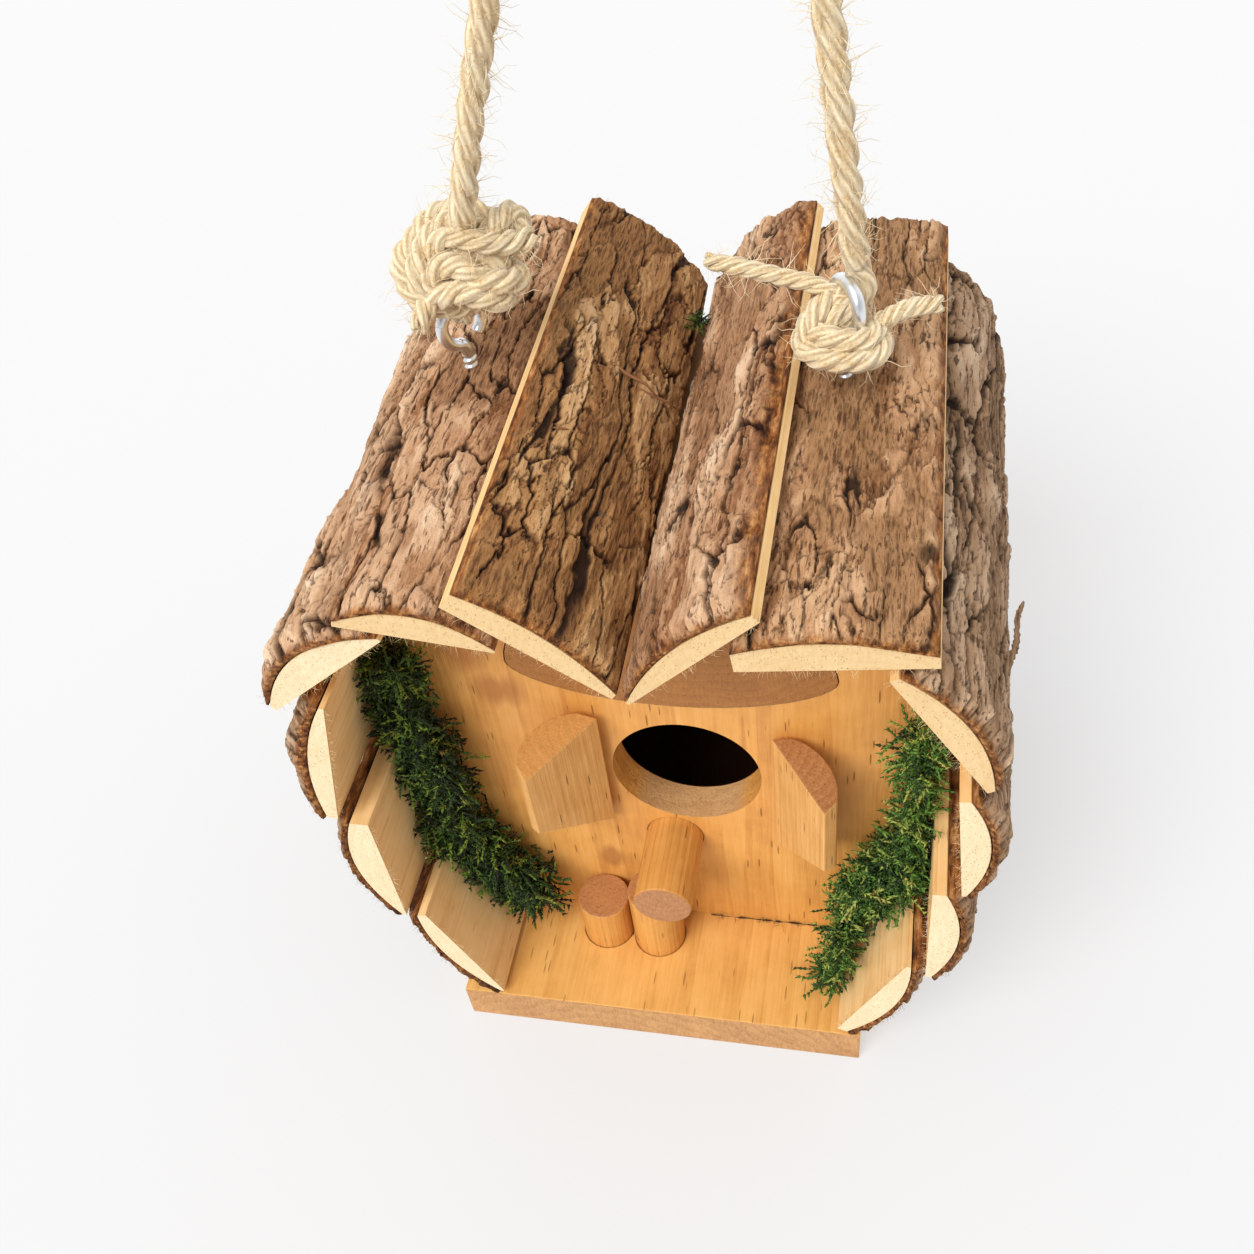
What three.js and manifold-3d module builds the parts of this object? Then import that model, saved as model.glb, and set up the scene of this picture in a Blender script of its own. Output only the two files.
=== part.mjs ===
// A rustic hanging birdhouse, in millimetres, +Z up, its front facing -Y.
//
// Twelve split-log slabs with their bark on are nailed round two shaped end panels: three down
// each side like the staves of a barrel, and six over the top that meet in a central valley.
// The house stands on a base board. A rope tied to two screw eyes in the roof carries it.
//
// The numbers of each section are measured from the middle of the base board's front bottom
// edge: x to the right, y back into the house, z up. The last lines move the whole house so
// that the middle of the footprint of its hard pieces is at the origin.

import * as THREE from 'three';
import { mergeVertices } from 'three/addons/utils/BufferGeometryUtils.js';
import Module from 'manifold-3d';

const wasm = await Module();
wasm.setup();

// ---------------------------------------------------------------- driving dimensions

const HOUSE = { length: 125, centreX: 1.84, centreY: 62.48 };
const GAP = 0.3; // between a piece and one that is fitted into it or turned against it
const TOUCH = 0.05; // between two flat faces that rest on each other
const BASE = { halfWidth: 46.3, thickness: 11 };
const PANEL = { thickness: 8.5, frontY: 27.2, backY: 106.5 };
const ENTRANCE = { x: 7, z: 67, radius: 16 };
const PERCH = { x: 2.8, z: 43.7, radius: 6.4, reach: 19, socket: 5 };
const ROPE = { radius: 2.5, sides: 10 };
const EYE = { wire: 1.15, ring: 4.6 };
const NAIL = { radius: 0.7, length: 20, sunk: 1, sides: 10 };

// Split-log slabs. The flat sawn face runs from `from` to `to` in section (x, z); `edges` are the
// wood's thicknesses at those two corners, `belly` is how much the round side rises between them,
// `bark` is the bark's thickness in the middle and `rim` its thickness at the two edges.
// `side` is 1 where the round side is to the left of the way from `from` to `to`, else -1.
// `turn` is a small lean in plan, in degrees, and `nail` where along the section the nail goes.
const SLABS = [
  { name: 'roof_slab_left_outer', from: [-62, 112.6], to: [-36.6, 133], edges: [1.5, 0.8], belly: 5.5,
    bark: 2.8, rim: [2, 1.8], side: 1, turn: 1.2, nail: 0.5 },
  { name: 'roof_slab_left_middle', from: [-44.3, 136.7], to: [-16.6, 131.9], edges: [0.9, 0.4], belly: 4.8,
    bark: 2.8, rim: [1.6, 1.6], side: 1, turn: 1.2, nail: 0.5 },
  { name: 'roof_slab_left_inner', from: [-24, 142.8], to: [2.3, 122.2], edges: [3.8, 1.4], belly: 2.6,
    bark: 2.8, rim: [2.4, 0.6], side: 1, turn: 0.9, nail: 0.6 },
  { name: 'roof_slab_right_inner', from: [5.2, 121.2], to: [28.2, 143.4], edges: [0.6, 1.8], belly: 3.2,
    bark: 2.8, rim: [0.9, 2.6], side: 1, turn: 0, nail: 0.4 },
  { name: 'roof_slab_right_middle', from: [23.6, 131.6], to: [56, 135.3], edges: [4, 2.6], belly: 2.6,
    bark: 2.8, rim: [1.6, 2.4], side: 1, turn: 0.4, nail: 0.5 },
  { name: 'roof_slab_right_outer', from: [48.3, 131.5], to: [65.6, 104.6], edges: [1.6, 1.4], belly: 4,
    bark: 2.7, rim: [1.6, 1.8], side: 1, turn: 0, nail: 0.5 },
  { name: 'wall_slab_left_top', from: [-59.7, 78.2], to: [-52.6, 113.6], edges: [2.2, 1], belly: 3,
    bark: 4.2, rim: [2, 3], side: 1, turn: 0, nail: 0.9 },
  { name: 'wall_slab_left_middle', from: [-53.4, 42.8], to: [-53.6, 77], edges: [0.8, 4], belly: 4.4,
    bark: 2.8, rim: [1.6, 3.2], side: 1, turn: 0, nail: 0.5 },
  { name: 'wall_slab_left_bottom', from: [-36.3, 12.6], to: [-48.9, 43.6], edges: [0.8, 2.2], belly: 3.6,
    bark: 2.6, rim: [1.6, 3], side: 1, turn: 0, nail: 0.5 },
  { name: 'wall_slab_right_top', from: [63.8, 72], to: [61.2, 101.4], edges: [0.8, 2], belly: 3.9,
    bark: 2.6, rim: [1.2, 2], side: -1, turn: 0, nail: 0.9 },
  { name: 'wall_slab_right_middle', from: [58.9, 40.4], to: [58.5, 71.6], edges: [1, 2.6], belly: 3.9,
    bark: 2.4, rim: [1.6, 2.6], side: -1, turn: 0, nail: 0.5 },
  { name: 'wall_slab_right_bottom', from: [41.3, 13.4], to: [55, 43.8], edges: [2.2, 1], belly: 3.8,
    bark: 2.8, rim: [1.6, 1.8], side: -1, turn: 0, nail: 0.5 },
];

// The outline of both end panels (x, z): the inner faces of the slabs, less a small clearance,
// with an open notch in the valley that the rail fills.
const PANEL_OUTLINE = [
  [39.6, BASE.thickness + TOUCH], [40.8, 13.8], [54.4, 44.2], [58.2, 45], [58.1, 72], [60.6, 101.6],
  [60.3, 111.6], [47.7, 131.2], [47.4, 133.7], [24, 131.1], [15.9, 130.8], [9.6, 124.6], [9.6, 116],
  [-1.6, 116], [-1.6, 122.6], [-12.6, 131.2], [-17.2, 131.2], [-35.7, 134.4], [-37.6, 131.4],
  [-52, 119.9], [-52, 114], [-53, 77.4], [-53, 44.2], [-48.4, 43.7], [-35.7, 13],
  [-35.4, BASE.thickness + TOUCH],
];

// The half-round rail under the valley, round side down.
const RAIL = { left: -27.4, right: 38.6, bottom: 89, nose: 99.3, top: 120.5, flat: [-6, 12] };
// How far the handles of its outline's curves lie from their ends.
const RAIL_HANDLES = { leftTop: [8, 4], rightTop: [12, 2], flank: 8, nose: 4, bottom: 20 };

// Short dowels that stand on the base board, in shallow sockets.
const POSTS = [
  { name: 'post_left', x: -15, y: 21.1, radius: 6, top: 24.5 },
  { name: 'post_middle', x: -2.4, y: 20.3, radius: 6, top: 30.6 },
];
const SOCKET_DEPTH = 4;

// Half-round offcuts that stand on each side of the entrance, round side against the panel.
// `near` and `far` are the flat face's two upright edges (x, y), `low` the height of the foot
// at those edges, where the offcut is mitred.
// `MITRE` is the block that cuts the foot: its front and back (y), and its reach to each side (x).
const MITRE = { front: -5, back: 40, reach: 60 };
const BLINKERS = [
  { name: 'half_round_left', near: [-20.5, 7], far: [-9.5, 24.3], belly: 8.3, side: 1, top: 86.8, low: [69, 52] },
  { name: 'half_round_right', near: [37.6, 8], far: [25.7, 25.3], belly: 6.7, side: -1, top: 83, low: [63.5, 47] },
];

// Screw eyes: where they enter the roof, the height of the bark there, and the turn of the ring.
const EYES = [
  { name: 'screw_eye_left', x: -36.3, y: 66, z: 143, ringZ: 152.7, foot: 136.4, turn: 52, slab: 1 },
  { name: 'screw_eye_right', x: 36.8, y: 66, z: 142.2, ringZ: 157.4, foot: 134.4, turn: -58, slab: 4 },
];

// The rope's route, up from the left knot, over in a loop and down into the right knot.
const ROPE_ROUTE = [
  [-32.4, 66.5, 172], [-31.5, 66.4, 176], [-29.7, 66, 182], [-27.4, 66, 190], [-25.2, 66, 197],
  [-22.6, 66, 205], [-19.9, 66, 213], [-17.2, 66, 221], [-14.2, 66, 229], [-9.9, 66, 237],
  [-4.2, 66, 243], [3, 66, 246.6], [11, 66, 247], [18.6, 66, 244.2], [24.8, 66, 238.8],
  [28.9, 66, 232], [31, 66, 224], [32.2, 66, 217], [33.1, 66, 210], [34, 66, 202],
  [34.9, 66, 194], [35.8, 66, 186], [36.8, 66.2, 178], [37.6, 66.8, 171], [38.2, 67.6, 165],
];

// Knots, as the outer shape of their turns: centre, half sizes, and the rope's loose ends.
const KNOTS = [
  { name: 'knot_left', centre: [-31.6, 66.5, 163], half: [11.5, 8.5, 10.5], ropeEnd: 0,
    tails: [[[-26, 64, 164], [-17.5, 62, 169.5]], [[-38, 64, 158], [-44, 62, 153.5]]] },
  { name: 'knot_right', centre: [36, 64.5, 152.6], half: [8, 6.8, 8], ropeEnd: ROPE_ROUTE.length - 1,
    tails: [[[32, 63, 156.5], [16.5, 62, 162.5]], [[40, 64, 153], [49.5, 64, 156]]] },
];

// Moss packed into the front corners: outline (x, z), and how far forward of the panel it comes.
const MOSS_LEFT = {
  outline: [[-50.5, 110], [-53, 90], [-52.5, 78], [-52.5, 45], [-47.6, 43.2], [-38, 20], [-31.5, 19],
    [-25.5, 25], [-25, 31], [-32, 42], [-36.5, 61], [-36, 81], [-41, 88], [-41, 106]],
  y: [14, 26.9],
};
const MOSS_RIGHT = {
  outline: [[59, 97], [49, 95], [46.5, 86], [52, 80], [51, 68], [45, 53], [37, 40], [33.5, 24], [37.5, 12],
    [40.2, 12], [40.6, 14.6], [53.6, 43.6], [57.7, 46], [57.7, 73], [59.8, 97]],
  y: [14, 26.9],
};
const MOSS_TAIL = { outline: [[34, 11.2], [39.6, 11.2], [47.5, 31], [40, 31]], y: [5, 20] };
const MOSS_TUFT = { centre: [3.4, 100, 130.6], radius: 2.2 };

// ---------------------------------------------------------------- materials

const finish = (color, roughness, metalness = 0) => new THREE.MeshStandardMaterial({ color, roughness, metalness });
const SAWN_WOOD = finish('#f0d3a0', 0.75);
const BARK = finish('#7a5540', 0.95);
const OILED_BOARD = finish('#e2ab63', 0.6);
const END_GRAIN = finish('#d59a63', 0.7);
const DOWEL = finish('#dca35c', 0.6);
const ZINC = finish('#c9ccd0', 0.3, 1);
const STEEL = finish('#8d8f92', 0.45, 1);
const JUTE = finish('#d9bf8f', 0.95);
const MOSS = finish('#3f5f24', 1);

// ---------------------------------------------------------------- helpers

// A closed three.js geometry as a manifold solid, and back.
function toSolid(geometry) {
  const bare = geometry.index ? geometry.toNonIndexed() : geometry.clone();
  bare.deleteAttribute('normal');
  bare.deleteAttribute('uv');
  const merged = mergeVertices(bare, 1e-4);
  return new wasm.Manifold(new wasm.Mesh({
    numProp: 3,
    vertProperties: new Float32Array(merged.attributes.position.array),
    triVerts: new Uint32Array(merged.index.array),
  }));
}

function toGeometry(solid) {
  const mesh = solid.getMesh();
  const geometry = new THREE.BufferGeometry();
  const points = new Float32Array(mesh.numVert * 3);
  for (let i = 0; i < mesh.numVert; i += 1) {
    for (let k = 0; k < 3; k += 1) points[3 * i + k] = mesh.vertProperties[mesh.numProp * i + k];
  }
  geometry.setAttribute('position', new THREE.BufferAttribute(points, 3));
  geometry.setIndex(new THREE.BufferAttribute(new Uint32Array(mesh.triVerts), 1));
  const flat = geometry.toNonIndexed();
  flat.computeVertexNormals();
  return flat;
}

const cut = (geometry, ...tools) =>
  toGeometry(tools.reduce((solid, tool) => solid.subtract(toSolid(tool)), toSolid(geometry)));

const join = (...geometries) =>
  toGeometry(geometries.slice(1).reduce((solid, other) => solid.add(toSolid(other)), toSolid(geometries[0])));

const outlineShape = (points) => new THREE.Shape(points.map(([a, b]) => new THREE.Vector2(a, b)));

// A prism of an (x, z) section, from y0 back to y1.
function prismBack(shape, y0, y1, curveSegments = 8) {
  const geometry = new THREE.ExtrudeGeometry(shape, { depth: y1 - y0, bevelEnabled: false, curveSegments });
  return geometry.rotateX(Math.PI / 2).translate(0, y1, 0);
}

// A prism of an (x, y) section, from z0 up to z1.
const prismUp = (shape, z0, z1) =>
  new THREE.ExtrudeGeometry(shape, { depth: z1 - z0, bevelEnabled: false }).translate(0, 0, z0);

const cylinderUp = (radius, z0, z1, sides) =>
  new THREE.CylinderGeometry(radius, radius, z1 - z0, sides).rotateX(Math.PI / 2).translate(0, 0, (z0 + z1) / 2);

const cylinderBack = (radius, y0, y1, sides) =>
  new THREE.CylinderGeometry(radius, radius, y1 - y0, sides).translate(0, (y0 + y1) / 2, 0);

// A round bar between two points.
function bar(radius, start, end, sides) {
  const a = new THREE.Vector3(...start);
  const b = new THREE.Vector3(...end);
  const geometry = new THREE.CylinderGeometry(radius, radius, a.distanceTo(b), sides);
  const turn = new THREE.Quaternion().setFromUnitVectors(new THREE.Vector3(0, 1, 0), b.clone().sub(a).normalize());
  const middle = a.add(b).multiplyScalar(0.5);
  return geometry.applyQuaternion(turn).translate(middle.x, middle.y, middle.z);
}

const house = new THREE.Group();
house.position.set(-HOUSE.centreX, -HOUSE.centreY, 0);

function place(name, geometry, material) {
  const mesh = new THREE.Mesh(geometry, material);
  mesh.name = name;
  house.add(mesh);
  return mesh;
}

// ---------------------------------------------------------------- the slabs' sections

const STEPS = 14;

// Points along the sawn face, and the thickness of wood and bark above it, at a share t from 0 to 1.
function slabSection(slab) {
  const from = new THREE.Vector2(...slab.from);
  const to = new THREE.Vector2(...slab.to);
  const along = to.clone().sub(from);
  const out = new THREE.Vector2(-along.y, along.x).normalize().multiplyScalar(slab.side);
  const dome = (t) => 4 * t * (1 - t);
  const wood = (t) => slab.edges[0] * (1 - t) + slab.edges[1] * t + slab.belly * dome(t);
  const bark = (t) => {
    const rim = slab.rim[0] * (1 - t) + slab.rim[1] * t;
    return rim + (slab.bark - rim) * Math.sqrt(dome(t));
  };
  const at = (t, height) => from.clone().addScaledVector(along, t).addScaledVector(out, height);
  return { wood, bark, at, out };
}

const shares = Array.from({ length: STEPS + 1 }, (_, i) => i / STEPS);

function woodShape(section) {
  const round = shares.map((t) => section.at(t, section.wood(t)));
  return new THREE.Shape([...round.reverse(), section.at(0, 0), section.at(1, 0)]);
}

function barkShape(section) {
  const outer = shares.map((t) => section.at(t, section.wood(t) + GAP + section.bark(t)));
  const inner = shares.map((t) => section.at(t, section.wood(t) + GAP));
  return new THREE.Shape([...outer.reverse(), ...inner]);
}

// ---------------------------------------------------------------- nails

const nailHoles = [];
const panelMiddle = PANEL.frontY + PANEL.thickness / 2;

function slabNail(slab, section) {
  const surface = section.wood(slab.nail) + GAP + section.bark(slab.nail) - NAIL.sunk;
  const head = section.at(slab.nail, surface);
  const point = section.at(slab.nail, surface - NAIL.length);
  const above = section.at(slab.nail, surface + 2 * NAIL.sunk);
  const below = section.at(slab.nail, surface - NAIL.length - GAP);
  nailHoles.push(bar(NAIL.radius + GAP, [above.x, panelMiddle, above.y], [below.x, panelMiddle, below.y], NAIL.sides));
  return bar(NAIL.radius, [head.x, panelMiddle, head.y], [point.x, panelMiddle, point.y], NAIL.sides);
}

// ---------------------------------------------------------------- screw eyes

// A wire ring on a straight shank, as one piece; `spare` thickens it for the hole it needs.
function screwEye(eye, spare = 0) {
  const ring = new THREE.TorusGeometry(EYE.ring, EYE.wire + spare, 10, 28);
  ring.rotateX(Math.PI / 2).rotateZ(THREE.MathUtils.degToRad(eye.turn)).translate(eye.x, eye.y, eye.ringZ);
  const shankTop = eye.ringZ - EYE.ring;
  const shank = cylinderUp(EYE.wire + spare, eye.foot - spare, shankTop, 12).translate(eye.x, eye.y, 0);
  return toGeometry(toSolid(ring).add(toSolid(shank)));
}

// ---------------------------------------------------------------- build: slabs and nails

SLABS.forEach((slab, index) => {
  const section = slabSection(slab);
  const nail = slabNail(slab, section);
  const hole = nailHoles[nailHoles.length - 1];
  const middle = section.at(0.5, 0);
  const lean = THREE.MathUtils.degToRad(slab.turn);
  const turned = (geometry) => geometry.translate(-middle.x, 0, 0).rotateZ(lean).translate(middle.x, 0, 0);
  const wood = turned(prismBack(woodShape(section), 0, HOUSE.length));
  const bark = turned(prismBack(barkShape(section), 0, HOUSE.length));
  const eyeHoles = EYES.filter((eye) => eye.slab === index).map((eye) => screwEye(eye, GAP));
  place(slab.name, cut(wood, hole, ...eyeHoles), SAWN_WOOD);
  place(`${slab.name}_bark`, cut(bark, hole, ...eyeHoles), BARK);
  place(`nail_${slab.name}`, nail, STEEL);
});

// ---------------------------------------------------------------- build: base, panels, rail

const BASE_NAILS = { x: [-22, 24], low: 0.6, high: 26 };
const panels = [
  { name: 'front_panel', y: PANEL.frontY, nailY: panelMiddle },
  { name: 'back_panel', y: PANEL.backY, nailY: PANEL.backY + PANEL.thickness / 2 },
];
const baseNailSpots = panels.flatMap((panel) => BASE_NAILS.x.map((x) => ({ x, y: panel.nailY })));
const baseNailHoles = baseNailSpots.map(({ x, y }) =>
  cylinderUp(NAIL.radius + GAP, -1, BASE_NAILS.high + GAP, NAIL.sides).translate(x, y, 0));

const postHoles = POSTS.map((post) =>
  cylinderUp(post.radius + GAP / 2, BASE.thickness - SOCKET_DEPTH - TOUCH, BASE.thickness + 1, 32)
    .translate(post.x, post.y, 0));
const board = new THREE.BoxGeometry(2 * BASE.halfWidth, HOUSE.length, BASE.thickness)
  .translate(0, HOUSE.length / 2, BASE.thickness / 2);
place('base_board', cut(board, ...postHoles, ...baseNailHoles), OILED_BOARD);

function railShape(spare) {
  const { left, right, bottom, nose, top, flat } = RAIL;
  const { leftTop, rightTop, flank, nose: pull, bottom: reach } = RAIL_HANDLES;
  const middle = (left + right) / 2;
  const shape = new THREE.Shape();
  shape.moveTo(flat[0], top + spare);
  const low = bottom - spare;
  shape.bezierCurveTo(left + leftTop[0], top - leftTop[1], left - spare, nose + flank, left - spare, nose);
  shape.bezierCurveTo(left - spare, nose - pull, middle - reach, low, middle, low);
  shape.bezierCurveTo(middle + reach, low, right + spare, nose - pull, right + spare, nose);
  shape.bezierCurveTo(right + spare, nose + flank, right - rightTop[0], top - rightTop[1], flat[1], top + spare);
  return shape;
}

const railBack = PANEL.backY + PANEL.thickness;
place('roof_rail', prismBack(railShape(0), PANEL.frontY, railBack, 10), END_GRAIN);
const railRoom = prismBack(railShape(GAP), PANEL.frontY - 5, railBack + 5, 10);

panels.forEach((panel) => {
  const blank = prismBack(outlineShape(PANEL_OUTLINE), panel.y, panel.y + PANEL.thickness);
  const cuts = [railRoom, ...baseNailHoles];
  if (panel.name === 'front_panel') {
    cuts.push(...nailHoles);
    cuts.push(cylinderBack(ENTRANCE.radius, panel.y - 1, panel.y + PANEL.thickness + 1, 64)
      .translate(ENTRANCE.x, 0, ENTRANCE.z));
    cuts.push(cylinderBack(PERCH.radius + GAP / 2, panel.y - 1, panel.y + PERCH.socket + TOUCH, 32)
      .translate(PERCH.x, 0, PERCH.z));
  }
  place(panel.name, cut(blank, ...cuts), OILED_BOARD);
});

baseNailSpots.forEach(({ x, y }, index) => {
  const nail = cylinderUp(NAIL.radius, BASE_NAILS.low, BASE_NAILS.high, NAIL.sides).translate(x, y, 0);
  place(`nail_base_${index + 1}`, nail, STEEL);
});

// ---------------------------------------------------------------- build: perch, posts, half-rounds

place('perch', cylinderBack(PERCH.radius, PANEL.frontY - PERCH.reach, PANEL.frontY + PERCH.socket, 32)
  .translate(PERCH.x, 0, PERCH.z), DOWEL);

POSTS.forEach((post) => {
  const dowel = cylinderUp(post.radius, BASE.thickness - SOCKET_DEPTH, post.top, 32).translate(post.x, post.y, 0);
  place(post.name, dowel, DOWEL);
});

BLINKERS.forEach((blinker) => {
  const near = new THREE.Vector2(...blinker.near);
  const far = new THREE.Vector2(...blinker.far);
  const along = far.clone().sub(near);
  const out = new THREE.Vector2(-along.y, along.x).normalize().multiplyScalar(blinker.side);
  const rounds = shares.map((t) => {
    const height = blinker.belly * Math.sqrt(4 * t * (1 - t));
    return near.clone().addScaledVector(along, t).addScaledVector(out, height);
  });
  const blank = prismUp(new THREE.Shape(rounds), Math.min(...blinker.low) - 10, blinker.top);
  const [lowNear, lowFar] = blinker.low;
  const slope = (lowFar - lowNear) / (far.y - near.y);
  const footAt = (y) => lowNear + slope * (y - near.y);
  const { front, back, reach } = MITRE;
  const waste = [[front, 0], [back, 0], [back, footAt(back)], [front, footAt(front)]];
  const sideways = new THREE.Matrix4().set(0, 0, 1, -reach, 1, 0, 0, 0, 0, 1, 0, 0, 0, 0, 0, 1);
  const mitre = new THREE.ExtrudeGeometry(outlineShape(waste), { depth: 2 * reach, bevelEnabled: false })
    .applyMatrix4(sideways);
  place(blinker.name, cut(blank, mitre), DOWEL);
});

// ---------------------------------------------------------------- build: screw eyes, rope, knots

EYES.forEach((eye) => place(eye.name, screwEye(eye), ZINC));

const route = new THREE.CatmullRomCurve3(ROPE_ROUTE.map((point) => new THREE.Vector3(...point)));
const ropeSection = new THREE.Shape(Array.from({ length: ROPE.sides }, (_, i) => {
  const angle = (2 * Math.PI * i) / ROPE.sides;
  return new THREE.Vector2(ROPE.radius * Math.cos(angle), ROPE.radius * Math.sin(angle));
}));
place('hanging_rope', new THREE.ExtrudeGeometry(ropeSection, { steps: 24, extrudePath: route }), JUTE);

const blob = (centre, half, rings = 12) =>
  new THREE.SphereGeometry(1, 2 * rings, rings).scale(...half).translate(...centre);

KNOTS.forEach((knot, index) => {
  const end = new THREE.Vector3(...ROPE_ROUTE[knot.ropeEnd]);
  const next = new THREE.Vector3(...ROPE_ROUTE[knot.ropeEnd === 0 ? 1 : knot.ropeEnd - 1]);
  const way = next.sub(end).normalize();
  const inwards = end.clone().addScaledVector(way, -GAP).toArray();
  const outwards = end.clone().addScaledVector(way, 2 * knot.half[2]).toArray();
  const tails = knot.tails.map(([start, stop]) => bar(ROPE.radius, start, stop, 10));
  const whole = join(blob(knot.centre, knot.half), ...tails);
  const ropeRoom = bar(ROPE.radius + GAP, inwards, outwards, 12);
  place(knot.name, cut(whole, ropeRoom, screwEye(EYES[index], GAP)), JUTE);
});

// ---------------------------------------------------------------- build: moss

const packed = ({ outline, y }) => prismBack(outlineShape(outline), y[0], y[1]);
place('moss_left', packed(MOSS_LEFT), MOSS);
place('moss_right', join(packed(MOSS_RIGHT), packed(MOSS_TAIL)), MOSS);
place('moss_tuft', blob(MOSS_TUFT.centre, Array(3).fill(MOSS_TUFT.radius), 6), MOSS);

export default house;
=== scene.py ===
# %% [markdown]
# # A rustic birdhouse of split logs
#
# The real house is a small workshop piece: two shaped end boards, split logs with the bark still
# on nailed round them, round dowels, packed moss, and a hairy rope tied to two screw eyes.
# We start from the design's own frame, so that every piece we model lands where it is built.

import math

import bmesh
import bpy
import numpy as np
from mathutils import Matrix, Vector


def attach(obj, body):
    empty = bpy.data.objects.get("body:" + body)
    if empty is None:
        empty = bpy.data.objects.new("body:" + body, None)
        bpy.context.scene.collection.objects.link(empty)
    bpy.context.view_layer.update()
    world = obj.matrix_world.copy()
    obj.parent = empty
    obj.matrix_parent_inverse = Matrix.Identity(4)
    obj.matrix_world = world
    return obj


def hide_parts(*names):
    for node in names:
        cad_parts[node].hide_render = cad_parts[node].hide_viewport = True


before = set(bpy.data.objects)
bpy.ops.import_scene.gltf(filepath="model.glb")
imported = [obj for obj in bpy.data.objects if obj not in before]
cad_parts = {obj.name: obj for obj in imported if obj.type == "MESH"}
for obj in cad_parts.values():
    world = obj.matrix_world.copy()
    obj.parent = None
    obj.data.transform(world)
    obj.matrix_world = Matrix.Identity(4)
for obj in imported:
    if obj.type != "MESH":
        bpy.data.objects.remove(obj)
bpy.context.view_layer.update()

MM = 0.001
HOUSE_MIDDLE = np.array([1.84, 62.48, 0.0])  # mm, from the base board's front bottom edge
HOUSE_LENGTH = 125.0


def placed(points):
    """Points measured in mm from the base board's front bottom edge, in metres in the frame."""
    return (np.asarray(points, float) - HOUSE_MIDDLE) * MM


# %% [markdown]
# ## The camera
#
# The house is looked at from above its front, a little from the right of its middle, with the
# camera rolled slightly, so that both the bark of the roof and the face of the house show.
# The camera is set by three angles, and a function turns them into a matrix. The same function
# gives the plane in which the knots are tied later.

# %% Camera
VIEW_ANGLES = (-0.291, 0.801, -0.152)  # turn, dip and roll, in radians
CAMERA_PLACE = Vector((46.79, -201.48, 290.33)) * MM


def facing(turn, dip, roll):
    """The rotation whose -Z looks along the turn and dip, rolled about that line."""
    forward = Vector((math.sin(turn) * math.cos(dip), math.cos(turn) * math.cos(dip), -math.sin(dip)))
    level = Vector((math.cos(turn), -math.sin(turn), 0))
    rise = level.cross(forward)
    right = level * math.cos(roll) + rise * math.sin(roll)
    up = rise * math.cos(roll) - level * math.sin(roll)
    return Matrix((right, up, -forward)).transposed()


camera_data = bpy.data.cameras.new("camera")
camera_data.lens = 37.71
camera_data.sensor_width = 36
camera_data.clip_start = 0.01
camera = bpy.data.objects.new("camera", camera_data)
camera.matrix_world = Matrix.Translation(CAMERA_PLACE) @ facing(*VIEW_ANGLES).to_4x4()
bpy.context.collection.objects.link(camera)
bpy.context.scene.camera = camera
print("camera", tuple(round(v, 3) for v in camera.location))

# %% [markdown]
# ## Chance that repeats
#
# Bark, fibres and moss need chance, but the same chance on every run. Two tools give it: a
# seeded generator for scattering pieces, and a hash that turns whole numbers into a fixed
# fraction, from which smooth noise and broken cells are built for sculpting surfaces.

# %% Repeatable noise
chance = np.random.default_rng(41)


def hashed(ix, iy, seed):
    """A fixed fraction from 0 to 1 for each whole-numbered square of a plane."""
    mixed = (ix.astype(np.int64) * 374761393 + iy.astype(np.int64) * 668265263 + seed * 97463477) & 0xFFFFFFFF
    mixed = ((mixed ^ (mixed >> 13)) * 1274126177) & 0xFFFFFFFF
    mixed = ((mixed ^ (mixed >> 16)) * 2146121005) & 0xFFFFFFFF
    return ((mixed ^ (mixed >> 15)) & 0xFFFFFF) / 0xFFFFFF


def smooth_noise(x, y, seed):
    """Soft hills and dips from -1 to 1, about one unit apart."""
    ix, iy = np.floor(x), np.floor(y)
    fx, fy = x - ix, y - iy
    fx, fy = fx * fx * (3 - 2 * fx), fy * fy * (3 - 2 * fy)
    low = hashed(ix, iy, seed) * (1 - fx) + hashed(ix + 1, iy, seed) * fx
    high = hashed(ix, iy + 1, seed) * (1 - fx) + hashed(ix + 1, iy + 1, seed) * fx
    return 2 * (low * (1 - fy) + high * fy) - 1


def rough_noise(x, y, seed, octaves=3):
    """Hills with smaller hills on them."""
    return sum(smooth_noise(x * 2**k, y * 2**k, seed + 31 * k) * 0.5**k for k in range(octaves))


def broken_cells(x, y, seed):
    """A cracked plane: the distance from the nearest crack, a fraction for each plate, and its slope."""
    ix, iy = np.floor(x), np.floor(y)
    near = np.full(np.shape(x), 9.0)
    second = near.copy()
    plate = np.zeros(np.shape(x))
    slope = plate.copy()
    for dx in (-1, 0, 1):
        for dy in (-1, 0, 1):
            cx, cy = ix + dx, iy + dy
            off_x = x - cx - hashed(cx, cy, seed)
            off_y = y - cy - hashed(cx, cy, seed + 1)
            away = np.hypot(off_x, off_y)
            closer = away < near
            second = np.where(closer, near, np.minimum(second, away))
            fraction = hashed(cx, cy, seed + 2)
            plate = np.where(closer, fraction, plate)
            tilt = off_x * (hashed(cx, cy, seed + 3) - 0.5) + off_y * (fraction - 0.5)
            slope = np.where(closer, tilt, slope)
            near = np.minimum(near, away)
    return second - near, plate, slope


def ease(low, high, value):
    """0 below low, 1 above high, and smooth between."""
    share = np.clip((value - low) / (high - low), 0, 1)
    return share * share * (3 - 2 * share)


print("noise sample", round(float(smooth_noise(np.array(0.3), np.array(0.7), 1)), 4))

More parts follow.
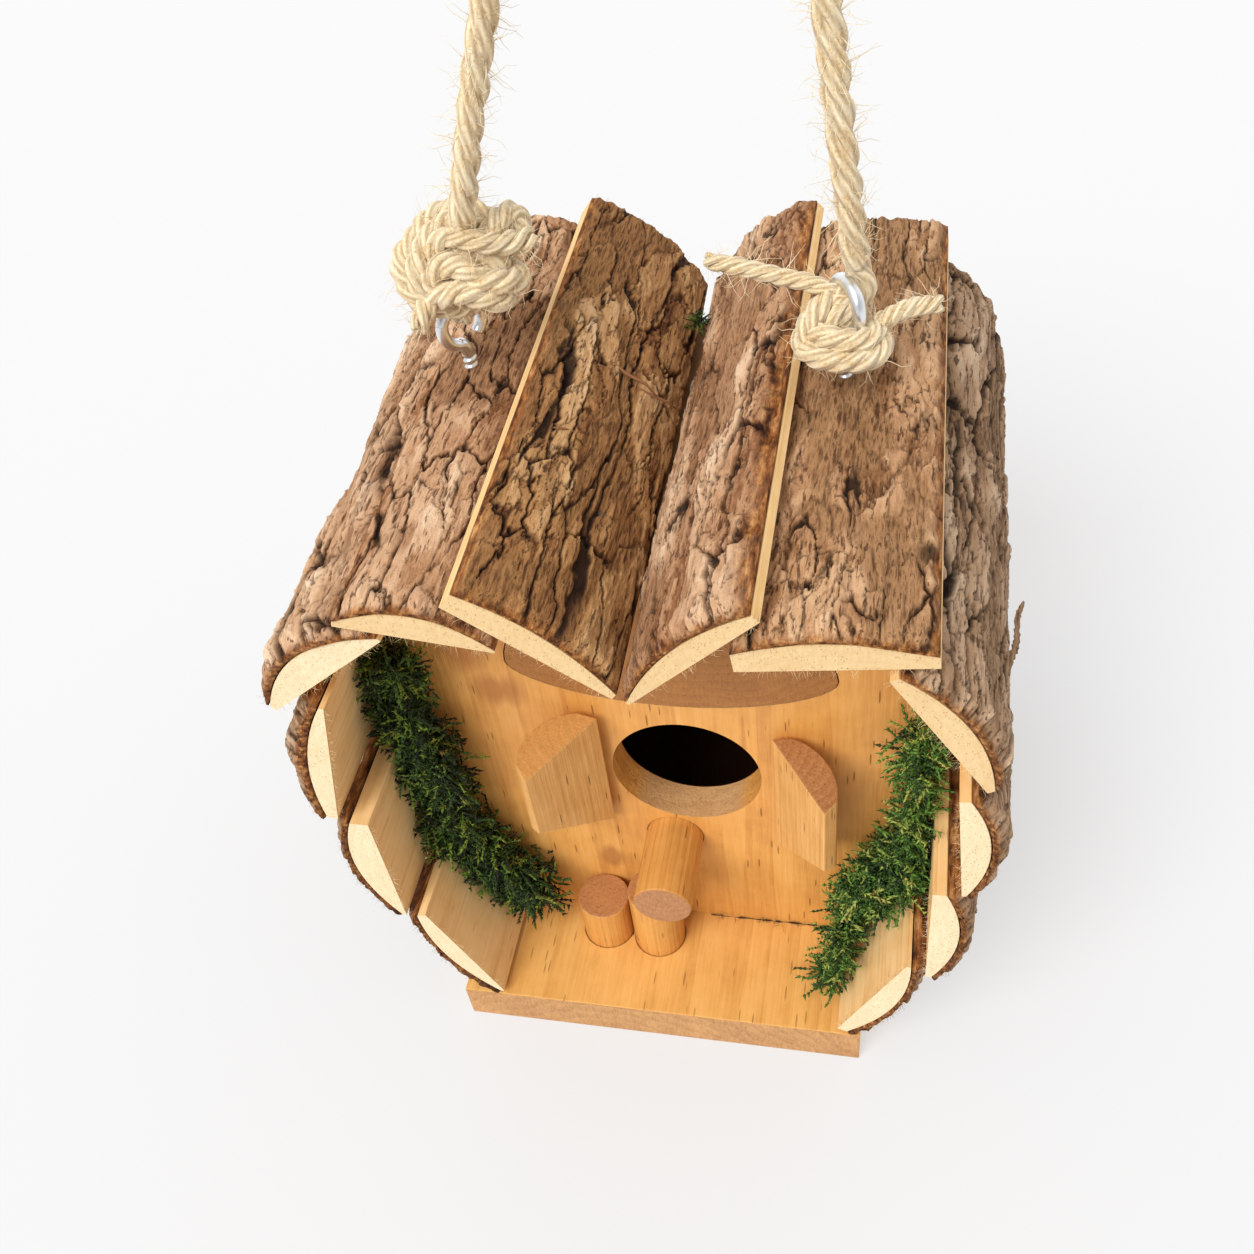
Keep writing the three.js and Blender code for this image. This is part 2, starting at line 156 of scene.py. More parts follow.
# %% [markdown]
# ## Skins and tubes
#
# Most of what we model is a skin wrapped round a core: a tube round a rope's line, or bark
# round a log. bmesh makes one flat grid, its vertices are moved to their places ring by ring,
# the seam is merged and the ends are filled. That keeps the mesh closed, with even faces.

# %% Wrapping a grid
def skin(rings, marks=None):
    """A closed mesh through rings of points in metres: rows along the piece, columns round it."""
    rows, around = rings.shape[:2]
    grid = bmesh.new()
    bmesh.ops.create_grid(grid, x_segments=around, y_segments=rows - 1, size=0.5)
    mesh = bpy.data.meshes.new("skin")
    grid.to_mesh(mesh)
    grid.free()
    wrapped = np.concatenate([rings, rings[:, :1]], axis=1)
    mesh.vertices.foreach_set("co", wrapped.astype(np.float32).ravel())
    for mark, values in (marks or {}).items():
        layer = mesh.attributes.new(mark, "FLOAT", "POINT")
        values = np.broadcast_to(values, (rows, around))
        closed = np.concatenate([values, values[:, :1]], axis=1)
        layer.data.foreach_set("value", closed.astype(np.float32).ravel())
    shell = bmesh.new()
    shell.from_mesh(mesh)
    shell.verts.ensure_lookup_table()
    seam = [shell.verts[row * (around + 1) + column] for row in range(rows) for column in (0, around)]
    bmesh.ops.remove_doubles(shell, verts=seam, dist=1e-7)
    bmesh.ops.holes_fill(shell, edges=[edge for edge in shell.edges if edge.is_boundary], sides=0)
    bmesh.ops.recalc_face_normals(shell, faces=shell.faces)
    shell.to_mesh(mesh)
    shell.free()
    return mesh


def smooth_path(points, step):
    """A Catmull-Rom curve through the points, with a point about every step."""
    points = np.asarray(points, float)
    padded = np.vstack([2 * points[0] - points[1], points, 2 * points[-1] - points[-2]])
    fine = []
    for a, b, c, d in zip(padded, padded[1:], padded[2:], padded[3:]):
        t = np.linspace(0, 1, 24, endpoint=False)[:, None]
        square, cube = 2 * a - 5 * b + 4 * c - d, 3 * b - a - 3 * c + d
        fine.append(0.5 * (2 * b + (c - a) * t + square * t**2 + cube * t**3))
    fine = np.vstack(fine + [points[-1:]])
    along = np.concatenate([[0], np.cumsum(np.linalg.norm(np.diff(fine, axis=0), axis=1))])
    stops = np.linspace(0, along[-1], max(3, int(round(along[-1] / step)) + 1))
    return np.stack([np.interp(stops, along, fine[:, k]) for k in range(3)], axis=1)


def carried_frame(path):
    """Two directions across the path at each point, carried along it without twisting."""
    ways = np.gradient(path, axis=0)
    ways /= np.linalg.norm(ways, axis=1)[:, None]
    side = np.cross(ways[0], [0.3, 0.9, 0.1])
    sides = []
    for way in ways:
        side = side - way * side.dot(way)
        side = side / np.linalg.norm(side)
        sides.append(side)
    sides = np.array(sides)
    return sides, np.cross(ways, sides)


def tube_rings(path, radius, sides):
    """Rings of points round a path. The radius is one number, one for each ring, or one for each point."""
    across, over = carried_frame(path)
    angle = np.linspace(0, 2 * math.pi, sides, endpoint=False)
    radius = np.broadcast_to(np.asarray(radius, float).reshape(-1, 1) if np.ndim(radius) == 1 else radius,
                             (len(path), sides))
    circle = (across[:, None] * np.cos(angle)[None, :, None] + over[:, None] * np.sin(angle)[None, :, None])
    return path[:, None] + circle * radius[..., None]


def piece(name, parts, finish, replaces=()):
    """One object from several meshes, riding on the house and standing for its CAD nodes."""
    whole = bmesh.new()
    for part in parts:
        whole.from_mesh(part)
    mesh = bpy.data.meshes.new(name)
    whole.to_mesh(mesh)
    whole.free()
    mesh.polygons.foreach_set("use_smooth", np.ones(len(mesh.polygons), bool))
    mesh.materials.append(finish)
    made = bpy.data.objects.new(name, mesh)
    bpy.context.collection.objects.link(made)
    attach(made, "root")
    if replaces:
        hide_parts(*replaces)
    print(name, len(mesh.polygons), "faces")
    return made


# %% [markdown]
# ## A short hand for materials
#
# Each finish below is a small node graph. The helper adds a node, sets it, and joins its inputs
# in one call, so a finish reads from top to bottom like a recipe.

# %% Material helpers
def linear(code):
    """A colour given as sRGB hex, as the linear values that a shader takes."""
    parts = [int(code[k:k + 2], 16) / 255 for k in (1, 3, 5)]
    return tuple(p / 12.92 if p <= 0.04045 else ((p + 0.055) / 1.055)**2.4 for p in parts) + (1.0,)


def add(material, kind, inputs=None, **settings):
    """One more node: settings are its own, inputs are values or another node's output."""
    made = material.node_tree.nodes.new("ShaderNode" + kind)
    for setting, value in settings.items():
        setattr(made, setting, value)
    for socket, value in (inputs or {}).items():
        if isinstance(value, bpy.types.NodeSocket):
            material.node_tree.links.new(value, made.inputs[socket])
        else:
            made.inputs[socket].default_value = value
    return made


def colour_ramp(material, factor, stops):
    """Colours by a factor: stops are (place, hex)."""
    made = add(material, "ValToRGB", {"Fac": factor})
    elements = made.color_ramp.elements
    while len(elements) < len(stops):
        elements.new(0.5)
    for element, (place, code) in zip(elements, stops):
        element.position = place
        element.color = linear(code)
    return made.outputs["Color"]


def between(material, factor, first, second):
    """Two colours mixed by a factor."""
    made = add(material, "Mix", data_type="RGBA")
    for socket, value in ((made.inputs[0], factor), (made.inputs[6], first), (made.inputs[7], second)):
        if isinstance(value, bpy.types.NodeSocket):
            material.node_tree.links.new(value, socket)
        else:
            socket.default_value = value
    return made.outputs[2]


def sums(material, operation, first, second=0.5):
    """Arithmetic on two values."""
    return add(material, "Math", {0: first, 1: second}, operation=operation).outputs[0]


def noise_on(material, place, scale, detail=4.0, stretch=(1, 1, 1), roughness=0.55):
    """Noise on a position, finer where scale is higher, drawn out where stretch is below 1."""
    mapped = add(material, "Mapping", {"Vector": place, "Scale": stretch}).outputs[0]
    made = add(material, "TexNoise",
               {"Vector": mapped, "Scale": scale, "Detail": detail, "Roughness": roughness})
    return made.outputs["Fac"]


def start_material(name):
    """A new material, its shader and the position on the object."""
    material = bpy.data.materials.new(name)
    material.use_nodes = True
    shader = material.node_tree.nodes["Principled BSDF"]
    return material, shader, add(material, "TexCoord").outputs["Object"]


def finish_with(material, shader, colour, roughness, height, depth, strength=1.0):
    """Joins the colour, the roughness and the bump to the shader."""
    link = material.node_tree.links.new
    link(colour, shader.inputs["Base Color"])
    if isinstance(roughness, bpy.types.NodeSocket):
        link(roughness, shader.inputs["Roughness"])
    else:
        shader.inputs["Roughness"].default_value = roughness
    bump = add(material, "Bump", {"Height": height, "Distance": depth, "Strength": strength})
    link(bump.outputs[0], shader.inputs["Normal"])


# %% [markdown]
# ## The rope
#
# The rope is jute, 5 mm thick, laid from three strands. It rises from one screw eye, goes over
# in a loop above the roof and comes down to the other. A plain tube would look like plastic, so
# each strand is its own wavy tube wound round the rope's line, and loose hairs stand off it.

# %% Jute
def jute_finish():
    material, shader, place = start_material("jute")
    groove_shade = add(material, "Attribute", attribute_name="groove_shade").outputs["Fac"]
    blotch = noise_on(material, place, 260, 3)
    fibre = noise_on(material, place, 1900, 5, roughness=0.7)
    tone = sums(material, "ADD", sums(material, "MULTIPLY", blotch, 0.35),
                sums(material, "MULTIPLY", fibre, 0.65))
    straw = colour_ramp(material, tone,
                        [(0.28, "#b98a4c"), (0.4, "#ebcb94"), (0.5, "#fde9c0"), (0.66, "#fff6da")])
    # Painted shade: the grooves between the yarns are darkened towards brown.
    shaded = between(material, groove_shade, straw, linear("#86602f"))
    finish_with(material, shader, shaded, 0.9, fibre, 0.0003, 0.8)
    shader.inputs["Sheen Weight"].default_value = 0.25
    shader.inputs["Sheen Roughness"].default_value = 0.6
    return material


jute = jute_finish()
print(jute.name)

# %% Strands laid into rope
LAY = 19.0  # mm of rope for one whole turn of its strands
TIGHT_LAY = 10.0  # where the rope is pushed together in a knot
YARNS = 5
STRAND_COUNT = 3
STRAND_SHARE = 0.56  # of the rope's radius, for one of its strands


def laid_rope(path, radius, fray=0.0, lay=LAY):
    """Strands wound round a path in mm. fray opens them out towards the path's last end."""
    across, over = carried_frame(path)
    gone = np.concatenate([[0], np.cumsum(np.linalg.norm(np.diff(path, axis=0), axis=1))])
    opened = fray * ease(gone[-1] - 9, gone[-1], gone)
    strand_radius = radius * STRAND_SHARE
    offset = (radius - strand_radius * 0.92) * (1 + opened)
    meshes = []
    for strand in range(STRAND_COUNT):
        angle = -2 * math.pi * gone / lay + 2 * math.pi * strand / STRAND_COUNT
        line = path + (across * np.cos(angle)[:, None] + over * np.sin(angle)[:, None]) * offset[:, None]
        turn = np.linspace(0, 2 * math.pi, 14, endpoint=False)
        ridges = np.cos(YARNS * turn[None, :] + gone[:, None] * 0.55 + strand)
        uneven = smooth_noise(gone[:, None] * 0.5 + 9 * strand, turn[None, :] * 1.3, 5 + strand)
        thick = strand_radius * (1 + 0.07 * ridges + 0.07 * uneven)
        thick = thick * (1 - 0.35 * (opened > 0)[:, None] * ease(gone[-1] - 5, gone[-1], gone)[:, None])
        # This mark is painted shade in the grooves between the yarns, none on their ridges.
        meshes.append(skin(placed(tube_rings(line, thick, 14)), {"groove_shade": 0.36 * (1 - ridges)}))
    return meshes


ROPE_RADIUS = 2.5
ROPE_ROUTE = [
    [-32.4, 66.5, 172], [-31.5, 66.4, 176], [-29.7, 66, 182], [-27.4, 66, 190], [-25.2, 66, 197],
    [-22.6, 66, 205], [-19.9, 66, 213], [-17.2, 66, 221], [-14.2, 66, 229], [-9.9, 66, 237],
    [-4.2, 66, 243], [3, 66, 246.6], [11, 66, 247], [18.6, 66, 244.2], [24.8, 66, 238.8],
    [28.9, 66, 232], [31, 66, 224], [32.2, 66, 217], [33.1, 66, 210], [34, 66, 202],
    [34.9, 66, 194], [35.8, 66, 186], [36.8, 66.2, 178], [37.6, 66.8, 171], [38.2, 67.6, 165],
]
rope_path = smooth_path(ROPE_ROUTE, 0.7)
hanging_rope = piece("rope", laid_rope(rope_path, ROPE_RADIUS), jute, ["hanging_rope"])

# %% [markdown]
# ## The knots
#
# Each rope end goes through its screw eye and is tied back on itself. The left knot is a fat
# bundle of turns with a frayed end. The right one is small, with two thin ends sticking out.
# A knot is easiest to draw flat, as it is seen, and then to push in and out of that plane: so
# each turn is a list of points (right, up, towards the viewer) in mm from the knot's middle.

# %% Tying
tying_plane = np.array(facing(*VIEW_ANGLES))


def tied(middle, turn):
    """A turn of rope drawn in the tying plane, as a path in mm."""
    return smooth_path(np.array(middle) + np.array(turn, float) @ tying_plane.T, 0.6)


LEFT_KNOT = (-32.4, 66.5, 164)
LEFT_WRAPS = [
    [0.6, 11.5, -1.5], [1.2, 8.5, 0.5], [0.5, 4, -1], [3, -2, -3], [-2, -6, -3], [-8.3, -6, 0],
    [-10.8, -4, 1], [-12.3, -0.6, 1.5], [-12, 1.9, 1.5], [-9.4, 5.6, 1.5], [-6.9, 9, 1], [-2.9, 11, 0],
    [1.5, 10.6, -2], [5, 7, -4], [4, 1, -4], [-3, -2, -4], [-8, -5, -1.5], [-9.4, -4, 2], [-9.2, -0.6, 3.5],
    [-8, 2.9, 3.5], [-6.3, 5.4, 3.5], [-4, 7.4, 3], [-0.6, 8, 2.5], [3, 6, 0], [6, 2, -2], [9, -1.5, -0.5],
    [6.6, -3.3, 3.2], [2.3, -3.1, 4.5], [-1.7, -0.8, 5], [-4.9, -0.8, 4.5], [-7.2, -2.9, 2.5],
    [-6.6, -5.2, 1.5], [-4, -5.6, 3], [-1.2, -5.2, 3.8], [2.3, -5.8, 3], [5.7, -6, 1], [7, -4, -1],
]
LEFT_FRAYED = [[-8, -0.5, 1.5], [-6.5, 2, 4], [-4, 4, 6.2], [-0.5, 3.6, 6.8], [3, 3, 6.2], [6, 3.4, 4.8],
               [9.2, 3.9, 3.6], [12.2, 5, 3.2]]
LEFT_LOBE = [[1, 1, 1], [2.9, 3.6, 3.4], [4.9, 6.9, 3.6], [6.6, 9.4, 2.4], [8.4, 9.8, 1], [9.4, 7.6, 0],
             [8.6, 5, 0], [6, 3.6, 0]]
LEFT_CORE = [[-7, -3.5, 0.6], [-5, 0, 1.6], [-1.6, 2.4, 2.4], [2, 2.6, 2.2], [4.4, 0.4, 1],
             [2, -2, 0.6], [-2, -3, 0.6]]
LEFT_FOOT = [[-9.6, -11.4, 0.5], [-8.6, -9, 1.2], [-7.4, -6.4, 1.2], [-5.4, -4.6, 0.6], [-2, -4, 0]]
# The turn that goes through the left eye's ring and back up into the knot, in mm in the frame's axes.
LEFT_TIE = [[-38.4, 67.7, 161], [-39, 68.1, 157.6], [-38.2, 67.5, 155.2], [-36.3, 66, 154.3],
            [-34.4, 64.5, 155.2], [-33.6, 63.9, 157.6], [-34.2, 64.3, 161]]
left_turns = (laid_rope(tied(LEFT_KNOT, LEFT_WRAPS), 2.4, lay=TIGHT_LAY)
              + laid_rope(smooth_path(LEFT_TIE, 0.6), 1.65, lay=TIGHT_LAY)
              + laid_rope(tied(LEFT_KNOT, LEFT_CORE), 3.2, lay=TIGHT_LAY)
              + laid_rope(tied(LEFT_KNOT, LEFT_FRAYED), 2.0, fray=0.6, lay=TIGHT_LAY)
              + laid_rope(tied(LEFT_KNOT, LEFT_LOBE), 2.3, lay=TIGHT_LAY)
              + laid_rope(tied(LEFT_KNOT, LEFT_FOOT[::-1]), 2.1, fray=0.2, lay=TIGHT_LAY))
knot_left = piece("knot_left_turns", left_turns, jute, ["knot_left"])

RIGHT_KNOT = (36, 64.5, 152.6)
RIGHT_WRAPS = [
    [3.1, 9, -2], [2, 5, -2.8], [0, 0, -3.5], [-4, -3, -2], [-7, -2, 0.5], [-5.6, 2, 2.5], [-2.3, 5.6, 2.5],
    [1.6, 7.4, 0.5], [4, 5, -2.5], [3, 0, -3.5], [-2, -3.5, -2.5], [-6.5, -3, 0.5], [-5, -5, 2.5],
    [-0.3, -6, 3.6], [4.7, -5.3, 3.2], [7.1, -2.7, 1.5], [5.7, 0.7, -0.5], [1, 2, -3], [-4, 0.5, -1],
    [-4.9, -0.6, 2], [-2.6, -2, 4.4], [1, -2.6, 4.9], [4.4, -1.8, 3.8], [6.2, 0.2, 1.8],
]
RIGHT_END = [[3, -1.5, 2.2], [6, 1, 1.8], [8.4, 2.4, 1.6], [11.4, 3.8, 1.4], [14.5, 4.5, 1.2], [17.8, 4.9, 1]]
LEFT_END = [[3, 2.6, 0.5], [0, 5.4, 2.4], [-5, 7.8, 2.8], [-10, 9.2, 2.2], [-16, 10.8, 1.6],
            [-20.5, 11.8, 1.2], [-24.6, 12.7, 1]]
RIGHT_CORE = [[-3.6, 3, -1], [-2.4, 0, 0.4], [0, -2.2, 1], [2.6, -1, 0.2], [1.6, 2, -0.6], [-1, 3.4, -0.6]]
# The right leg comes down behind the eye's ring and forward through it, in mm in the frame's axes.
# The design's rope stops short of this knot, so the last of the leg is modelled here, with the knot.
RIGHT_DROP = [[37.9, 67.2, 167], [38.3, 67.7, 164.6], [39.4, 67.9, 162], [39.6, 67.8, 159.6],
              [38.7, 67.2, 157.8], [36.8, 66, 157], [34.9, 64.8, 156], [33.6, 63.8, 154.4]]
right_turns = (laid_rope(tied(RIGHT_KNOT, RIGHT_WRAPS), 2.1, lay=TIGHT_LAY)
               + laid_rope(tied(RIGHT_KNOT, RIGHT_CORE), 2.6, lay=TIGHT_LAY)
               + laid_rope(smooth_path(RIGHT_DROP, 0.6), 2.3)
               + laid_rope(tied(RIGHT_KNOT, RIGHT_END), 1.75, fray=0.25, lay=7)
               + laid_rope(tied(RIGHT_KNOT, LEFT_END), 1.65, fray=0.15, lay=9))
knot_right = piece("knot_right_turns", right_turns, jute, ["knot_right"])

# %% [markdown]
# ## Loose hairs
#
# Jute is never clean. Hundreds of hairs leave the strands at a low angle and curl. One small
# bent hair is modelled, and copies of it are turned, sized and joined: the same trick makes the
# torn fibres of the bark and the moss later, so it is a function.

# %% Scattering copies
def template(path, radii, sides=3):
    """A small thin shape to be copied many times."""
    shape = skin(tube_rings(np.array(path, float), np.array(radii, float), sides))
    shape.attributes.new("tone", "FLOAT", "POINT")
    return shape


def scatter(shapes, places, ways, sizes, normals=None):
    """Copies of the shapes, each one unit long along +X, at places in metres, laid along ways. They
    are rolled by chance, or lie with their +Z along the normals."""
    swarm = bmesh.new()
    for k, (place, way, size) in enumerate(zip(places, ways, sizes)):
        shape = shapes[k % len(shapes)].copy()
        if normals is None:
            roll = Matrix.Rotation(chance.uniform(0, 6.283), 3, "X")
            turn = Vector(way).to_track_quat("X", "Z").to_matrix() @ roll
        else:
            along = Vector(way).normalized()
            aside = Vector(normals[k]).cross(along).normalized()
            turn = Matrix((along, aside, along.cross(aside))).transposed()
        shape.transform(Matrix.Translation(Vector(place)) @ turn.to_4x4() @ Matrix.Scale(size, 4))
        tone = chance.uniform(0, 1)
        shape.attributes["tone"].data.foreach_set("value", np.full(len(shape.vertices), tone, np.float32))
        swarm.from_mesh(shape)
        bpy.data.meshes.remove(shape)
    mesh = bpy.data.meshes.new("swarm")
    swarm.to_mesh(mesh)
    swarm.free()
    return mesh


def hairs():
    """Three differently bent hairs, one unit long."""
    return [template([[0, 0, 0], [0.3, bend * 0.4, 0.05], [0.65, bend, 0.2], [1, bend * 1.5, 0.1]],
                     [0.014, 0.013, 0.01, 0.004]) for bend in (0.12, 0.3, -0.22)]


def hairs_on(path, count, shortest, longest, radius):
    """Hairs that leave a rope's path."""
    spots = chance.integers(1, len(path) - 1, count)
    along = path[spots + 1] - path[spots - 1]
    along /= np.linalg.norm(along, axis=1)[:, None]
    outwards = chance.normal(size=(count, 3))
    outwards -= along * np.sum(outwards * along, axis=1)[:, None]
    outwards /= np.linalg.norm(outwards, axis=1)[:, None]
    lean = chance.uniform(-1.6, 1.6, count)[:, None]
    return placed(path[spots] + outwards * radius * 0.85), outwards + along * lean, \
        chance.uniform(shortest, longest, count) * MM


def fuzz(name, paths):
    """One piece of hairs for several paths: (path, count, radius)."""
    gathered = [hairs_on(path, count, 1.6, 5.5, radius) for path, count, radius in paths]
    places, ways, sizes = (np.concatenate(group) for group in zip(*gathered))
    return piece(name, [scatter(hairs(), places, ways, sizes)], jute)


rope_hairs = fuzz("rope_hairs", [(rope_path, 1100, ROPE_RADIUS)])
knot_left_hairs = fuzz("knot_left_hairs", [(tied(LEFT_KNOT, LEFT_WRAPS), 420, 2.3),
                                           (tied(LEFT_KNOT, LEFT_FRAYED), 160, 2.1),
                                           (tied(LEFT_KNOT, LEFT_FRAYED)[-12:], 60, 1.2),
                                           (tied(LEFT_KNOT, LEFT_FOOT), 60, 2.1)])
knot_right_hairs = fuzz("knot_right_hairs", [(tied(RIGHT_KNOT, RIGHT_WRAPS), 220, 1.95),
                                             (tied(RIGHT_KNOT, RIGHT_END), 60, 1.7),
                                             (tied(RIGHT_KNOT, LEFT_END), 110, 1.7)])

# %% [markdown]
# ## Floor and light
#
# A floor that glows faintly, and a white sky that is brighter behind the house than in front of
# it, give the even light of a product table. One broad, far-off lamp, above the house on its
# front left, gives shape, and drops a pale shadow to the right.

# %% Studio
def plain_finish(name, code):
    material = bpy.data.materials.new(name)
    material.use_nodes = True
    shader = material.node_tree.nodes["Principled BSDF"]
    shader.inputs["Base Color"].default_value = linear(code)
    shader.inputs["Roughness"].default_value = 0.9
    shader.inputs["Specular IOR Level"].default_value = 0.1
    return material


floor_shape = bmesh.new()
bmesh.ops.create_grid(floor_shape, x_segments=1, y_segments=1, size=4)
floor_mesh = bpy.data.meshes.new("floor")
floor_shape.to_mesh(floor_mesh)
floor_shape.free()
floor_finish = plain_finish("floor_white", "#979797")
floor_shader = floor_finish.node_tree.nodes["Principled BSDF"]
floor_shader.inputs["Emission Color"].default_value = (1, 1, 1, 1)
floor_shader.inputs["Emission Strength"].default_value = 0.5
floor_mesh.materials.append(floor_finish)
floor = bpy.data.objects.new("floor", floor_mesh)
bpy.context.collection.objects.link(floor)

SKY_FRONT, SKY_BACK = 0.48, 1.2
sky = bpy.data.worlds.new("sky")
sky.use_nodes = True
sky_nodes = sky.node_tree.nodes
direction = sky_nodes.new("ShaderNodeTexCoord")
split = sky_nodes.new("ShaderNodeSeparateXYZ")
sky.node_tree.links.new(direction.outputs["Generated"], split.inputs[0])
brightness = sky_nodes.new("ShaderNodeMapRange")
brightness.inputs["From Min"].default_value = -1
brightness.inputs["To Min"].default_value = SKY_FRONT
brightness.inputs["To Max"].default_value = SKY_BACK
sky.node_tree.links.new(split.outputs["Y"], brightness.inputs["Value"])
sky.node_tree.links.new(brightness.outputs["Result"], sky_nodes["Background"].inputs["Strength"])
sky_nodes["Background"].inputs["Color"].default_value = (1, 1, 1, 1)
bpy.context.scene.world = sky

key_lamp = bpy.data.lights.new("key", "SUN")
key_lamp.energy = 2.8
key_lamp.angle = math.radians(36)
key = bpy.data.objects.new("key", key_lamp)
key.matrix_world = Vector((-0.36, -0.72, 0.8)).to_track_quat("Z", "Y").to_matrix().to_4x4()
bpy.context.collection.objects.link(key)
bpy.context.scene.view_settings.view_transform = "Standard"
print("studio set")

# %% [markdown]
# ## The slabs
#
# Each slab is a log's outer slice: a flat sawn face, a round back, and the bark still on it.
# The same few numbers that shape it in the design shape its bark here: where the flat face
# starts and ends in section, how thick the wood is at its edges, how much it bellies, and how
# thick the bark is in the middle and at its rims. The two lowest wall slabs have a thicker upper
# rim than in the design, to close the slit above them. The right one presses half a millimetre
# into the wood of its neighbour.

# %% The slabs' sections
SLABS = {
    "roof_slab_left_outer": dict(start=(-62, 112.6), end=(-36.6, 133), edges=(1.5, 0.8), belly=5.5, bark=2.8,
                                 rim=(2, 1.8), turn=1.2),
    "roof_slab_left_middle": dict(start=(-44.3, 136.7), end=(-16.6, 131.9), edges=(0.9, 0.4), belly=4.8,
                                  bark=2.8, rim=(1.6, 1.6), turn=1.2),
    "roof_slab_left_inner": dict(start=(-24, 142.8), end=(2.3, 122.2), edges=(3.8, 1.4), belly=2.6, bark=2.8,
                                 rim=(2.4, 0.6), turn=0.9),
    "roof_slab_right_inner": dict(start=(5.2, 121.2), end=(28.2, 143.4), edges=(0.6, 1.8), belly=3.2,
                                  bark=2.8, rim=(0.9, 2.6), turn=0),
    "roof_slab_right_middle": dict(start=(23.6, 131.6), end=(56, 135.3), edges=(4, 2.6), belly=2.6, bark=2.8,
                                   rim=(1.6, 2.4), turn=0.4),
    "roof_slab_right_outer": dict(start=(48.3, 131.5), end=(65.6, 104.6), edges=(1.6, 1.4), belly=4, bark=2.7,
                                  rim=(1.6, 1.8), turn=0),
    "wall_slab_left_top": dict(start=(-59.7, 78.2), end=(-52.6, 113.6), edges=(2.2, 1), belly=3, bark=4.2,
                               rim=(2, 3), turn=0),
    "wall_slab_left_middle": dict(start=(-53.4, 42.8), end=(-53.6, 77), edges=(0.8, 4), belly=4.4, bark=2.8,
                                  rim=(1.6, 3.2), turn=0),
    "wall_slab_left_bottom": dict(start=(-36.3, 12.6), end=(-48.9, 43.6), edges=(0.8, 2.2), belly=3.6,
                                  bark=2.6, rim=(1.6, 3.6), turn=0),
    "wall_slab_right_top": dict(start=(63.8, 72), end=(61.2, 101.4), edges=(0.8, 2), belly=3.9, bark=2.6,
                                rim=(1.2, 2), turn=0),
    "wall_slab_right_middle": dict(start=(58.9, 40.4), end=(58.5, 71.6), edges=(1, 2.6), belly=3.9, bark=2.4,
                                   rim=(1.6, 2.6), turn=0),
    "wall_slab_right_bottom": dict(start=(41.3, 13.4), end=(55, 43.8), edges=(2.2, 1), belly=3.8, bark=2.8,
                                   rim=(1.6, 3.0), turn=0),
}
SEAT = 0.3  # mm between the wood and its bark


def section(name):
    """Functions of a share t across the slab: wood thickness, bark thickness, and a point at a height."""
    slab = SLABS[name]
    start, end = np.array(slab["start"], float), np.array(slab["end"], float)
    along = end - start
    side = -1 if name.startswith("wall_slab_right") else 1
    out = side * np.array([-along[1], along[0]]) / np.linalg.norm(along)

    def dome(t):
        return np.clip(4 * t * (1 - t), 0, 1)

    def wood(t):
        return slab["edges"][0] * (1 - t) + slab["edges"][1] * t + slab["belly"] * dome(t)

    def bark(t):
        rim = slab["rim"][0] * (1 - t) + slab["rim"][1] * t
        return rim + (slab["bark"] - rim) * np.sqrt(dome(t))

    def at(t, height):
        return start + along * np.asarray(t)[..., None] + out * np.asarray(height)[..., None]

    return wood, bark, at


def turned(name, points):
    """Section points with their length, leaned in plan as the slab lies on the roof."""
    lean = math.radians(SLABS[name]["turn"])
    middle = (SLABS[name]["start"][0] + SLABS[name]["end"][0]) / 2
    x, y, z = points[..., 0] - middle, points[..., 1], points[..., 2]
    return np.stack([middle + x * math.cos(lean) - y * math.sin(lean),
                     x * math.sin(lean) + y * math.cos(lean), z], axis=-1)


print(len(SLABS), "slabs")

# %% [markdown]
# ## Bark
#
# Old conifer bark is layered like slate: thin plates that lift and break along the trunk, with
# dark fissures between them, and rusty fibres where it has been cut. The relief is made of
# terraces (peeled layers), broken cells (plates), long fissures and fine fibres. It is real
# geometry, because bark is seen edge-on at the ends and against the sky. The heights are kept
# on the mesh as attributes too, so the colour follows the relief, and the cracks are coloured
# near black: partly their own dark colour, partly painted shade.

# %% Bark relief
def terraces(value, steps, riser):
    """A slope cut into flat steps: riser is the share of each step that is steep."""
    scaled = value * steps
    whole = np.floor(scaled)
    return (whole + ease(1 - riser, 1, scaled - whole)) / steps


